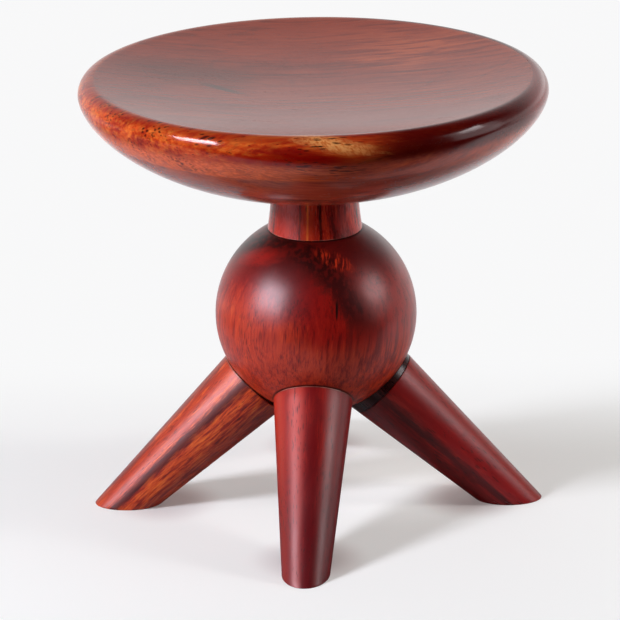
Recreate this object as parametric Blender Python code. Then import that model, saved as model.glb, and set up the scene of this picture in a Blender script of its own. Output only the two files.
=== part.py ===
"""Round wooden stool: a dished seat on a short neck, a ball and four splayed legs.

Lengths are in metres, angles in radians, +Z is up and the floor is z = 0. The seat, the
neck and the ball are turned about the Z axis, and the front leg points towards -Y. Every
joint is a round tenon in a blind mortise. The legs are coped to the ball, apart from the
right one, where a dark collar takes up the wedge between the ball and its flat shoulder.
"""

import math

import bmesh
import bpy
from mathutils import Vector

# Fits: the seam between two bearing faces, and the glue space past the end of a tenon
SEAM_GAP = 0.0003
GLUE_POCKET = 0.001

# Seat: the depth runs from the crest of the rim to the flat underside, the girth is the
# widest circle, and a fullness of 1 makes the underside a cone and 2 a quarter ellipse
SEAT_RADIUS = 0.2305
SEAT_DEPTH = 0.1085
GIRTH_DROP = 0.016
RIM_WIDTH = 0.0165
CREST_LAND = 0.002
DISH_DEPTH = 0.018
BOSS_LAND = 0.017
UNDERSIDE_FULLNESS = 1.63

# Neck: the length runs from shoulder to shoulder, without the tenons
NECK_LENGTH = 0.049
NECK_TOP_RADIUS = 0.043
NECK_BASE_RADIUS = 0.047
NECK_TENON_RADIUS = 0.022
NECK_TENON_LENGTH = 0.040

# Ball: it rises above the point where the axes of the legs cross
BALL_RADIUS = 0.1006
BALL_RISE = 0.0127

# Legs: the tilt is from the upright, the foot's radius is square to the axis at the floor
LEG_CROSSING_HEIGHT = 0.190
LEG_TILT = math.radians(46.0)
LEG_TOP_RADIUS = 0.0387
LEG_FOOT_RADIUS = 0.0234
LEG_TENON_RADIUS = 0.022
LEG_TENON_LENGTH = 0.032
FRONT_LEG_TURN = math.radians(-4.0)
FOOT_CHAMFER = 0.0012

# Left leg: it is sawn square and a little short, so that its seam opens towards the heel,
# the side of the leg that faces under the stool
LEFT_HEEL_GAP = 0.005

# Collar of the right leg: the crown is its thickness over the ball, on the leg's axis
COLLAR_CROWN = 0.0016

# Tip of every tenon
TENON_CHAMFER = 0.0015

# Directions of the legs round the Z axis, counted from the front: the front leg of the
# real stool stands a little off square
QUARTER_TURN = math.pi / 2
LEG_TURNS = {
    "front": FRONT_LEG_TURN,
    "right": QUARTER_TURN,
    "rear": 2 * QUARTER_TURN,
    "left": -QUARTER_TURN,
}

# Facets
SEAT_SEGMENTS = 72
BALL_SEGMENTS = 56
SPINDLE_SEGMENTS = 40
MERGE_DISTANCE = 0.00001
SMOOTH_ANGLE = math.radians(35.0)

# Heights, from the floor up
BALL_HEIGHT = LEG_CROSSING_HEIGHT + BALL_RISE
BALL_FLAT_HEIGHT = BALL_HEIGHT + math.sqrt(BALL_RADIUS**2 - NECK_BASE_RADIUS**2)
NECK_BASE_HEIGHT = BALL_FLAT_HEIGHT + SEAM_GAP
NECK_TOP_HEIGHT = NECK_BASE_HEIGHT + NECK_LENGTH
SEAT_BASE_HEIGHT = NECK_TOP_HEIGHT + SEAM_GAP
CREST_HEIGHT = SEAT_BASE_HEIGHT + SEAT_DEPTH

# Distances along a leg's axis, from the point where the axes cross down towards the foot
BALL_CENTRE_REACH = -BALL_RISE * math.cos(LEG_TILT)
BALL_OFFSET = BALL_RISE * math.sin(LEG_TILT)
BALL_FACE_REACH = BALL_CENTRE_REACH + math.sqrt(BALL_RADIUS**2 - BALL_OFFSET**2)
HEEL_REACH = BALL_CENTRE_REACH + math.sqrt(BALL_RADIUS**2 - (LEG_TOP_RADIUS + BALL_OFFSET) ** 2)
TENON_REACH = BALL_FACE_REACH - LEG_TENON_LENGTH
FLOOR_REACH = LEG_CROSSING_HEIGHT / math.cos(LEG_TILT)

# Where each leg is sawn square at its top, before the ball is coped out of it
COPED_REACH = BALL_FACE_REACH - LEG_TOP_RADIUS
SHOULDER_REACH = BALL_FACE_REACH + COLLAR_CROWN
COLLARED_LEG = "right"
LEG_TOPS = {
    "front": COPED_REACH,
    COLLARED_LEG: SHOULDER_REACH,
    "rear": COPED_REACH,
    "left": HEEL_REACH + LEFT_HEEL_GAP,
}


def clear_scene():
    """Remove every object of the open scene."""
    for scene_object in list(bpy.data.objects):
        bpy.data.objects.remove(scene_object, do_unlink=True)


def wood(name, colour, roughness):
    """Make a lacquered wood of one colour."""
    material = bpy.data.materials.new(name)
    material.use_nodes = True
    shader = material.node_tree.nodes["Principled BSDF"]
    shader.inputs["Base Color"].default_value = (*colour, 1.0)
    shader.inputs["Roughness"].default_value = roughness
    shader.inputs["Metallic"].default_value = 0.0
    return material


def spin_profile(profile, segments, closed=False):
    """Turn a profile of (radius, height) points about Z into a closed bmesh."""
    mesh = bmesh.new()
    points = [mesh.verts.new((radius, 0.0, height)) for radius, height in profile]
    pairs = list(zip(points, points[1:]))
    if closed:
        pairs.append((points[-1], points[0]))
    edges = [mesh.edges.new(pair) for pair in pairs]
    bmesh.ops.spin(
        mesh,
        geom=points + edges,
        cent=(0.0, 0.0, 0.0),
        axis=(0.0, 0.0, 1.0),
        angle=math.tau,
        steps=segments,
        use_merge=True,
    )
    bmesh.ops.remove_doubles(mesh, verts=mesh.verts, dist=MERGE_DISTANCE)
    bmesh.ops.recalc_face_normals(mesh, faces=mesh.faces)
    return mesh


def add_object(name, mesh, material, parent):
    """Put a bmesh in the scene as one named piece, smooth except at its sharp edges."""
    data = bpy.data.meshes.new(name)
    mesh.to_mesh(data)
    mesh.free()
    data.shade_smooth()
    data.set_sharp_from_angle(angle=SMOOTH_ANGLE)
    piece = bpy.data.objects.new(name, data)
    bpy.context.scene.collection.objects.link(piece)
    piece.parent = parent
    if material is not None:
        data.materials.append(material)
    return piece


def make_helper(name, mesh, parent):
    """Add a solid that only shapes others, shown as wire and never rendered."""
    helper = add_object(name, mesh, None, parent)
    helper.hide_render = True
    helper.display_type = "WIRE"
    return helper


def combine(piece, helper, operation):
    """Cut a helper solid out of a piece, or join it on, with an exact Boolean."""
    boolean = piece.modifiers.new(helper.name, "BOOLEAN")
    boolean.operation = operation
    boolean.solver = "EXACT"
    boolean.object = helper


def ball_arc(radius, first_angle, last_angle, steps):
    """Points on the ball's outline, at angles measured up from its equator."""
    points = []
    for step in range(steps + 1):
        angle = first_angle + (last_angle - first_angle) * step / steps
        points.append((radius * math.cos(angle), radius * math.sin(angle)))
    return points


def roll_height_loss(inset, roll_width):
    """How far the rim's roll, carried on past its crest, has fallen at an inset from it."""
    return GIRTH_DROP * (1.0 - math.sqrt(1.0 - (inset / roll_width) ** 2))


def seat_profile():
    """Outline of the seat from the middle of the dish round to the end of its mortise."""
    dish_radius = SEAT_RADIUS - RIM_WIDTH
    crest_radius = dish_radius + CREST_LAND
    roll_width = SEAT_RADIUS - crest_radius
    boss_radius = NECK_TOP_RADIUS + BOSS_LAND
    mortise_radius = NECK_TENON_RADIUS + SEAM_GAP
    girth_height = CREST_HEIGHT - GIRTH_DROP
    edge_height = CREST_HEIGHT - roll_height_loss(CREST_LAND, roll_width)

    dish_steps, roll_steps, bowl_steps = 7, 6, 12
    points = []
    for step in range(dish_steps):
        share = step / dish_steps
        points.append((dish_radius * share, edge_height - DISH_DEPTH * (1.0 - share**2)))
    points.append((dish_radius, edge_height))
    for step in range(roll_steps + 1):
        angle = math.pi / 2 * step / roll_steps
        points.append(
            (
                crest_radius + roll_width * math.sin(angle),
                girth_height + GIRTH_DROP * math.cos(angle),
            )
        )
    for step in range(1, bowl_steps + 1):
        angle = math.pi / 2 * step / bowl_steps
        points.append(
            (
                boss_radius + (SEAT_RADIUS - boss_radius) * math.cos(angle) ** (2.0 / UNDERSIDE_FULLNESS),
                girth_height
                - (girth_height - SEAT_BASE_HEIGHT) * math.sin(angle) ** (2.0 / UNDERSIDE_FULLNESS),
            )
        )
    mortise_end = SEAT_BASE_HEIGHT - SEAM_GAP + NECK_TENON_LENGTH + GLUE_POCKET
    points += [(mortise_radius, SEAT_BASE_HEIGHT), (mortise_radius, mortise_end), (0.0, mortise_end)]
    return points


def make_seat(parent):
    """One thick turned disc: dished top, rolled rim, bowl-shaped underside, blind mortise."""
    mesh = spin_profile(seat_profile(), SEAT_SEGMENTS)
    return add_object("seat", mesh, wood("seat_wood", (0.170, 0.042, 0.024), 0.26), parent)


def make_neck(parent):
    """A short spindle that flares to the ball, with a round tenon at each end."""
    flare_steps = 6
    top_end = NECK_TOP_HEIGHT + NECK_TENON_LENGTH
    base_end = NECK_BASE_HEIGHT - NECK_TENON_LENGTH
    tenon_tip = NECK_TENON_RADIUS - TENON_CHAMFER
    points = [
        (0.0, top_end),
        (tenon_tip, top_end),
        (NECK_TENON_RADIUS, top_end - TENON_CHAMFER),
        (NECK_TENON_RADIUS, NECK_TOP_HEIGHT),
    ]
    for step in range(flare_steps + 1):
        share = step / flare_steps
        radius = NECK_TOP_RADIUS + (NECK_BASE_RADIUS - NECK_TOP_RADIUS) * share**2
        points.append((radius, NECK_TOP_HEIGHT - NECK_LENGTH * share))
    points += [
        (NECK_TENON_RADIUS, NECK_BASE_HEIGHT),
        (NECK_TENON_RADIUS, base_end + TENON_CHAMFER),
        (tenon_tip, base_end),
        (0.0, base_end),
    ]
    mesh = spin_profile(points, SPINDLE_SEGMENTS)
    return add_object("neck", mesh, wood("neck_wood", (0.120, 0.026, 0.018), 0.28), parent)


def make_ball(parent):
    """The turned ball, flat under the neck, with a mortise for the neck and for each leg."""
    flat_angle = math.acos(NECK_BASE_RADIUS / BALL_RADIUS)
    mortise_radius = NECK_TENON_RADIUS + SEAM_GAP
    mortise_end = NECK_BASE_HEIGHT - NECK_TENON_LENGTH - GLUE_POCKET - BALL_HEIGHT
    points = ball_arc(BALL_RADIUS, -math.pi / 2, flat_angle, BALL_SEGMENTS // 2 - 4)
    points += [
        (mortise_radius, BALL_FLAT_HEIGHT - BALL_HEIGHT),
        (mortise_radius, mortise_end),
        (0.0, mortise_end),
    ]
    mesh = spin_profile(points, BALL_SEGMENTS)
    ball = add_object("ball", mesh, wood("ball_wood", (0.190, 0.042, 0.020), 0.27), parent)
    ball.location.z = BALL_HEIGHT
    return ball


def leg_radius(reach):
    """Radius of the tapered leg at a distance along its axis from the crossing point."""
    share = (reach - BALL_FACE_REACH) / (FLOOR_REACH - BALL_FACE_REACH)
    return LEG_TOP_RADIUS + (LEG_FOOT_RADIUS - LEG_TOP_RADIUS) * share


def point_along_leg(piece, turn):
    """Stand a piece on the crossing point with its own +Z running up the leg's axis."""
    piece.location = (0.0, 0.0, LEG_CROSSING_HEIGHT)
    piece.rotation_euler = (-LEG_TILT, 0.0, turn)


def cut_foot(mesh):
    """Saw the leg off level with the floor and break the edge of the cut."""
    floor_normal = Vector((0.0, -math.sin(LEG_TILT), math.cos(LEG_TILT)))
    sawn = bmesh.ops.bisect_plane(
        mesh,
        geom=mesh.verts[:] + mesh.edges[:] + mesh.faces[:],
        dist=MERGE_DISTANCE,
        plane_co=(0.0, 0.0, -FLOOR_REACH),
        plane_no=floor_normal,
        clear_inner=True,
    )
    rim = [item for item in sawn["geom_cut"] if isinstance(item, bmesh.types.BMEdge)]
    bmesh.ops.edgeloop_fill(mesh, edges=rim)
    bmesh.ops.bevel(mesh, geom=rim, offset=FOOT_CHAMFER, segments=1, affect="EDGES")
    bmesh.ops.recalc_face_normals(mesh, faces=mesh.faces)


def make_leg_tenon(place, turn, parent):
    """The round tenon of one leg, carried on into the leg's own wood to join it."""
    tip = LEG_TENON_RADIUS - TENON_CHAMFER
    root_reach = SHOULDER_REACH + LEG_TENON_LENGTH
    profile = [
        (0.0, -TENON_REACH),
        (tip, -TENON_REACH),
        (LEG_TENON_RADIUS, -TENON_REACH - TENON_CHAMFER),
        (LEG_TENON_RADIUS, -root_reach),
        (0.0, -root_reach),
    ]
    tenon = make_helper(f"tenon_{place}", spin_profile(profile, SPINDLE_SEGMENTS), parent)
    point_along_leg(tenon, turn)
    return tenon


def make_leg(place, turn, cope, parent):
    """A tapered leg: level foot, top coped to the ball or square, tenon into the ball."""
    top_reach = LEG_TOPS[place]
    far_reach = FLOOR_REACH + LEG_FOOT_RADIUS * (1.0 + 2.0 * math.tan(LEG_TILT))
    points = [
        (0.0, -top_reach),
        (leg_radius(top_reach), -top_reach),
        (leg_radius(far_reach), -far_reach),
        (0.0, -far_reach),
    ]
    mesh = spin_profile(points, SPINDLE_SEGMENTS)
    cut_foot(mesh)
    material = wood(f"leg_wood_{place}", (0.150, 0.030, 0.018), 0.27)
    leg = add_object(f"leg_{place}", mesh, material, parent)
    point_along_leg(leg, turn)
    combine(leg, cope, "DIFFERENCE")
    combine(leg, make_leg_tenon(place, turn, parent), "UNION")
    return leg


def make_leg_mortise(place, turn, ball, parent):
    """Bore the blind mortise for one leg's tenon into the ball."""
    radius = LEG_TENON_RADIUS + SEAM_GAP
    end_reach = TENON_REACH - GLUE_POCKET
    profile = [(0.0, -end_reach), (radius, -end_reach), (radius, -SHOULDER_REACH), (0.0, -SHOULDER_REACH)]
    bore = make_helper(f"mortise_{place}", spin_profile(profile, SPINDLE_SEGMENTS), parent)
    point_along_leg(bore, turn)
    combine(ball, bore, "DIFFERENCE")


def make_cope(parent):
    """The solid that hollows legs and collar to the ball, one seam gap larger than it."""
    outline = ball_arc(BALL_RADIUS + SEAM_GAP, -math.pi / 2, math.pi / 2, BALL_SEGMENTS // 2)
    cope = make_helper("ball_cope", spin_profile(outline, BALL_SEGMENTS), parent)
    cope.location.z = BALL_HEIGHT
    return cope


def make_collar(place, turn, cope, parent):
    """A dark wedge ring, flush with the leg, flat on its shoulder and coped to the ball."""
    bore_radius = LEG_TENON_RADIUS + SEAM_GAP
    base_reach = SHOULDER_REACH - SEAM_GAP
    profile = [
        (bore_radius, -COPED_REACH),
        (leg_radius(COPED_REACH), -COPED_REACH),
        (leg_radius(base_reach), -base_reach),
        (bore_radius, -base_reach),
    ]
    mesh = spin_profile(profile, SPINDLE_SEGMENTS, closed=True)
    material = wood(f"collar_wood_{place}", (0.016, 0.007, 0.006), 0.25)
    collar = add_object(f"collar_{place}", mesh, material, parent)
    point_along_leg(collar, turn)
    combine(collar, cope, "DIFFERENCE")
    return collar


def main():
    """Build the stool from the top down, every piece under one empty on the floor."""
    clear_scene()
    stool = bpy.data.objects.new("stool", None)
    bpy.context.scene.collection.objects.link(stool)
    make_seat(stool)
    make_neck(stool)
    ball = make_ball(stool)
    cope = make_cope(stool)
    for place, turn in LEG_TURNS.items():
        make_leg_mortise(place, turn, ball, stool)
        make_leg(place, turn, cope, stool)
    make_collar(COLLARED_LEG, LEG_TURNS[COLLARED_LEG], cope, stool)


main()
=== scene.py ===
"""Looks of the round wooden stool: turned pieces of lacquered red hardwood in a white studio.

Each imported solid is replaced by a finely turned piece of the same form. Lengths are in
metres, angles in radians, +Z is up and the floor is z = 0. The front leg points towards -Y.
"""

import logging
import math
from abc import ABC, abstractmethod
from collections.abc import Callable, Collection, Iterator, Mapping
from contextlib import contextmanager
from dataclasses import dataclass
from enum import Enum

import bpy
from mathutils import Euler, Matrix, Vector


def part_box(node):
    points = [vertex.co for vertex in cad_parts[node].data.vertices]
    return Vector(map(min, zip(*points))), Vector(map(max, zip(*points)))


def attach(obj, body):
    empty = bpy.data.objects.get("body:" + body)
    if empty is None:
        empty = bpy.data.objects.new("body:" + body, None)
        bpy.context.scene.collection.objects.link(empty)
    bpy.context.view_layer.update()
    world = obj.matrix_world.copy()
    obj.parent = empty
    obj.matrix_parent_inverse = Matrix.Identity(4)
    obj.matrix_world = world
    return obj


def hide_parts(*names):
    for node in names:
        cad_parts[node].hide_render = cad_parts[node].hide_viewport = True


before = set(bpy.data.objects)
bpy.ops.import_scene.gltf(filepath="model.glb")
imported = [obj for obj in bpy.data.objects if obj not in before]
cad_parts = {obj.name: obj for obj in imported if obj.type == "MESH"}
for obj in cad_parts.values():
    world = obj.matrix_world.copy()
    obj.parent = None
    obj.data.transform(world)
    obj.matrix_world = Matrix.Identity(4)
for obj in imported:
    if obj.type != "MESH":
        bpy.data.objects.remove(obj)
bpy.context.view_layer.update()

LOG = logging.getLogger("stool")

Solid = bpy.types.Object
Tree = bpy.types.NodeTree
Socket = bpy.types.NodeSocket
Span = tuple[float, float]
Triple = tuple[float, float, float]
Colour = Triple
Outline = list[Span]
Feed = Socket | float | Triple
Feeds = dict[str | int, Feed]
Sockets = Mapping[str, Socket]

# Fits and edges that the pieces share
BODY = "root"
SEAM_GAP = 0.0003
GLUE_POCKET = 0.001
TENON_RADIUS = 0.022
TENON_CHAMFER = 0.0015
BROKEN_EDGE = 0.0005

# Mesh work
SEED_SIZE = 0.001
MERGE_DISTANCE = 0.000005
SMOOTH_ANGLE = math.radians(32.0)
ROUNDING_STEPS = 3

ORIGIN = (0.0, 0.0, 0.0)
UPRIGHT = (0.0, 0.0, 0.0)


class LegPlace(Enum):
    """Where a leg stands, and its turn about Z from the front."""

    FRONT = ("front", math.radians(-4.0))
    RIGHT = ("right", math.pi / 2)
    REAR = ("rear", math.pi)
    LEFT = ("left", -math.pi / 2)

    def __init__(self, word: str, turn: float) -> None:
        """Keep the word that names the leg and its turn."""
        self.word = word
        self.turn = turn


# Workbench: modelling with operators


def pick_only(piece: Solid) -> None:
    """Make a piece the only selected object and the active one.

    Args:
        piece: the object to pick.
    """
    bpy.ops.object.select_all(action="DESELECT")
    piece.select_set(True)
    bpy.context.view_layer.objects.active = piece


@contextmanager
def editing(piece: Solid) -> Iterator[None]:
    """Open one piece in edit mode with all of its mesh selected, and close it again.

    Args:
        piece: the mesh object to open.
    """
    pick_only(piece)
    bpy.ops.object.mode_set(mode="EDIT")
    bpy.ops.mesh.select_all(action="SELECT")
    try:
        yield
    finally:
        bpy.ops.object.mode_set(mode="OBJECT")


def close_and_turn_out() -> None:
    """Merge the doubles of the mesh in edit mode and point its faces outwards."""
    bpy.ops.mesh.select_all(action="SELECT")
    bpy.ops.mesh.remove_doubles(threshold=MERGE_DISTANCE)
    bpy.ops.mesh.normals_make_consistent(inside=False)


def turn_on_lathe(name: str, outline: Outline, segments: int) -> Solid:
    """Turn an outline about the Z axis into one closed piece.

    Args:
        name: the name of the new piece.
        outline: points of (radius, height), from one end to the other.
        segments: the number of steps round the axis.

    Returns:
        The turned piece, with its faces pointing outwards.
    """
    bpy.ops.object.select_all(action="DESELECT")
    radius, height = outline[0]
    bpy.ops.mesh.primitive_plane_add(size=SEED_SIZE, location=(radius, 0.0, height))
    piece = bpy.context.object
    piece.name = name
    piece.data.name = name
    bpy.ops.object.transform_apply(location=True, rotation=False, scale=False)
    with editing(piece):
        bpy.ops.mesh.merge(type="CENTER")
        for next_radius, next_height in outline[1:]:
            step = (next_radius - radius, 0.0, next_height - height)
            bpy.ops.mesh.extrude_vertices_move(TRANSFORM_OT_translate={"value": step})
            radius, height = next_radius, next_height
        bpy.ops.mesh.select_all(action="SELECT")
        bpy.ops.mesh.spin(steps=segments, angle=math.tau, center=ORIGIN, axis=(0.0, 0.0, 1.0))
        close_and_turn_out()
    return piece


def cut_away(piece: Solid, cutter: Solid) -> None:
    """Subtract a cutter from a piece, apply the cut and remove the cutter.

    Args:
        piece: the piece that is cut.
        cutter: the closed mesh that cuts it.
    """
    boolean = piece.modifiers.new(cutter.name, "BOOLEAN")
    boolean.operation = "DIFFERENCE"
    boolean.solver = "EXACT"
    boolean.object = cutter
    pick_only(piece)
    bpy.ops.object.modifier_apply(modifier=boolean.name)
    bpy.data.objects.remove(cutter, do_unlink=True)


def round_ring(piece: Solid, ring: Collection[int], width: float) -> None:
    """Round the edges that run along a ring of vertices.

    Args:
        piece: the mesh object.
        ring: the numbers of the ring's vertices.
        width: how far the rounding reaches to either side.
    """
    with editing(piece):
        bpy.ops.mesh.select_mode(type="EDGE")
        bpy.ops.mesh.select_all(action="DESELECT")
    for edge in piece.data.edges:
        edge.select = edge.vertices[0] in ring and edge.vertices[1] in ring
    bpy.ops.object.mode_set(mode="EDIT")
    bpy.ops.mesh.bevel(offset=width, segments=ROUNDING_STEPS, affect="EDGES")
    bpy.ops.mesh.select_mode(type="VERT")
    bpy.ops.object.mode_set(mode="OBJECT")


def smooth_round(piece: Solid) -> None:
    """Shade a piece smooth, apart from its sharp edges."""
    pick_only(piece)
    bpy.ops.object.shade_smooth_by_angle(angle=SMOOTH_ANGLE)


def even_steps(first: float, last: float, steps: int) -> list[float]:
    """Values from first to last in even steps, both ends included."""
    return [first + (last - first) * step / steps for step in range(steps + 1)]


def blind_mortise(mouth: float, end: float) -> Outline:
    """Points from the mouth of a round mortise on the axis to the middle of its end."""
    radius = TENON_RADIUS + SEAM_GAP
    return [(radius, mouth), (radius, end), (0.0, end)]


def hand_over(piece: Solid, node: str) -> None:
    """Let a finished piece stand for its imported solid.

    Args:
        piece: the dressed piece, in its place.
        node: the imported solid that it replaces.
    """
    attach(piece, BODY)
    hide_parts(node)
    LOG.info("%s stands for %s, %d faces", piece.name, node, len(piece.data.polygons))


# Wiring: the nodes of materials and of the effects that they share


class Blend(Enum):
    """How a colour mixes with what lies under it."""

    COVER = "MIX"
    STAIN = "MULTIPLY"


def opaque(colour: Feed) -> Socket | tuple[float, ...]:
    """Add full opacity to a plain colour, and pass a socket through."""
    return (*colour, 1.0) if isinstance(colour, tuple) else colour


class Wiring:
    """Adds nodes to one tree and joins them, a line for each step."""

    def __init__(self, tree: Tree) -> None:
        """Work on the given tree."""
        self.tree = tree

    def add(self, kind: str, feeds: Feeds, **settings: object) -> bpy.types.Node:
        """Add one node.

        Args:
            kind: Blender's name for the type of node.
            feeds: what goes into its inputs, a socket to join or a plain value.
            settings: attributes of the node itself.

        Returns:
            The new node.
        """
        node = self.tree.nodes.new(kind)
        for setting, value in settings.items():
            setattr(node, setting, value)
        for entry, feed in feeds.items():
            if isinstance(feed, Socket):
                self.tree.links.new(feed, node.inputs[entry])
            else:
                node.inputs[entry].default_value = feed
        return node

    def math(self, operation: str, *feeds: Feed) -> Socket:
        """Work out one number from up to three others."""
        return self.add("ShaderNodeMath", dict(enumerate(feeds)), operation=operation).outputs[0]

    def times(self, first: Feed, *others: Feed) -> Feed:
        """Multiply numbers, which gives what masks have in common."""
        for other in others:
            first = self.math("MULTIPLY", first, other)
        return first

    def scaled(self, value: Feed, factor: Feed, plus: Feed) -> Socket:
        """Multiply a number by a factor and add another number."""
        return self.math("MULTIPLY_ADD", value, factor, plus)

    def minus(self, first: Feed, second: Feed) -> Socket:
        """Take one number from another."""
        return self.math("SUBTRACT", first, second)

    def over(self, first: Feed, second: Feed) -> Socket:
        """Divide one number by another."""
        return self.math("DIVIDE", first, second)

    def centred(self, value: Feed) -> Socket:
        """Shift a value that lies about a half to lie about zero."""
        return self.minus(value, 0.5)

    def vector(self, operation: str, *feeds: Feed) -> Socket:
        """Work out one vector from up to two others."""
        return self.add("ShaderNodeVectorMath", dict(enumerate(feeds)), operation=operation).outputs[0]

    def measure(self, operation: str, *feeds: Feed) -> Socket:
        """Work out one number from one or two vectors."""
        node = self.add("ShaderNodeVectorMath", dict(enumerate(feeds)), operation=operation)
        return node.outputs["Value"]

    def away(self, place: Feed, point: Triple) -> Socket:
        """Give the distance of a place from a point."""
        return self.measure("LENGTH", self.vector("SUBTRACT", place, point))

    def across(self, x: Feed, y: Feed) -> Socket:
        """Give the distance from the Z axis."""
        return self.measure("LENGTH", self.joined(x, y, 0.0))

    def here(self, kind: str = "Object") -> Socket:
        """Give the place on the surface, in the object's own coordinates unless said otherwise."""
        return self.add("ShaderNodeTexCoord", {}).outputs[kind]

    def axes(self, feed: Feed) -> tuple[Socket, Socket, Socket]:
        """Split a vector into its X, Y and Z."""
        return tuple(self.add("ShaderNodeSeparateXYZ", {0: feed}).outputs)

    def joined(self, x: Feed, y: Feed, z: Feed) -> Socket:
        """Put a vector together from its X, Y and Z."""
        return self.add("ShaderNodeCombineXYZ", {0: x, 1: y, 2: z}).outputs[0]

    def rise(self, value: Feed, low: Feed, high: Feed) -> Socket:
        """Rise softly from 0 at low to 1 at high, or fall where low is the larger."""
        feeds = {"Value": value, "From Min": low, "From Max": high}
        return self.add("ShaderNodeMapRange", feeds, interpolation_type="SMOOTHSTEP").outputs["Result"]

    def noise(self, vector: Feed, scale: Feed, detail: float, roughness: float = 0.5) -> Socket:
        """Give cloudy values between 0 and 1."""
        feeds = {"Vector": vector, "Scale": scale, "Detail": detail, "Roughness": roughness}
        return self.add("ShaderNodeTexNoise", feeds).outputs["Fac"]

    def blend(self, factor: Feed, first: Feed, second: Feed, mode: Blend = Blend.COVER) -> Socket:
        """Mix two colours, all first at 0 and all second at 1."""
        feeds = {0: factor, 6: opaque(first), 7: opaque(second)}
        return self.add("ShaderNodeMix", feeds, data_type="RGBA", blend_type=mode.value).outputs[2]

    def local(
        self, vector: Feed, centre: Triple, turn: Triple, size: Triple = (1.0, 1.0, 1.0)
    ) -> Socket:
        """Measure a vector in a frame of its own.

        Args:
            vector: the vector in the frame of the object.
            centre: where the new frame stands.
            turn: how it is turned.
            size: the lengths that count as one in it.

        Returns:
            The vector in the new frame.
        """
        feeds = {"Vector": vector, "Location": centre, "Rotation": turn, "Scale": size}
        return self.add("ShaderNodeMapping", feeds, vector_type="TEXTURE").outputs[0]

    def effect(self, group: Tree, feeds: Feeds) -> Sockets:
        """Place a shared effect, feed its named inputs and give its named outputs."""
        return self.add("ShaderNodeGroup", feeds, node_tree=group).outputs


Recipe = Callable[[Wiring, Sockets], tuple[Socket, ...]]


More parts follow.
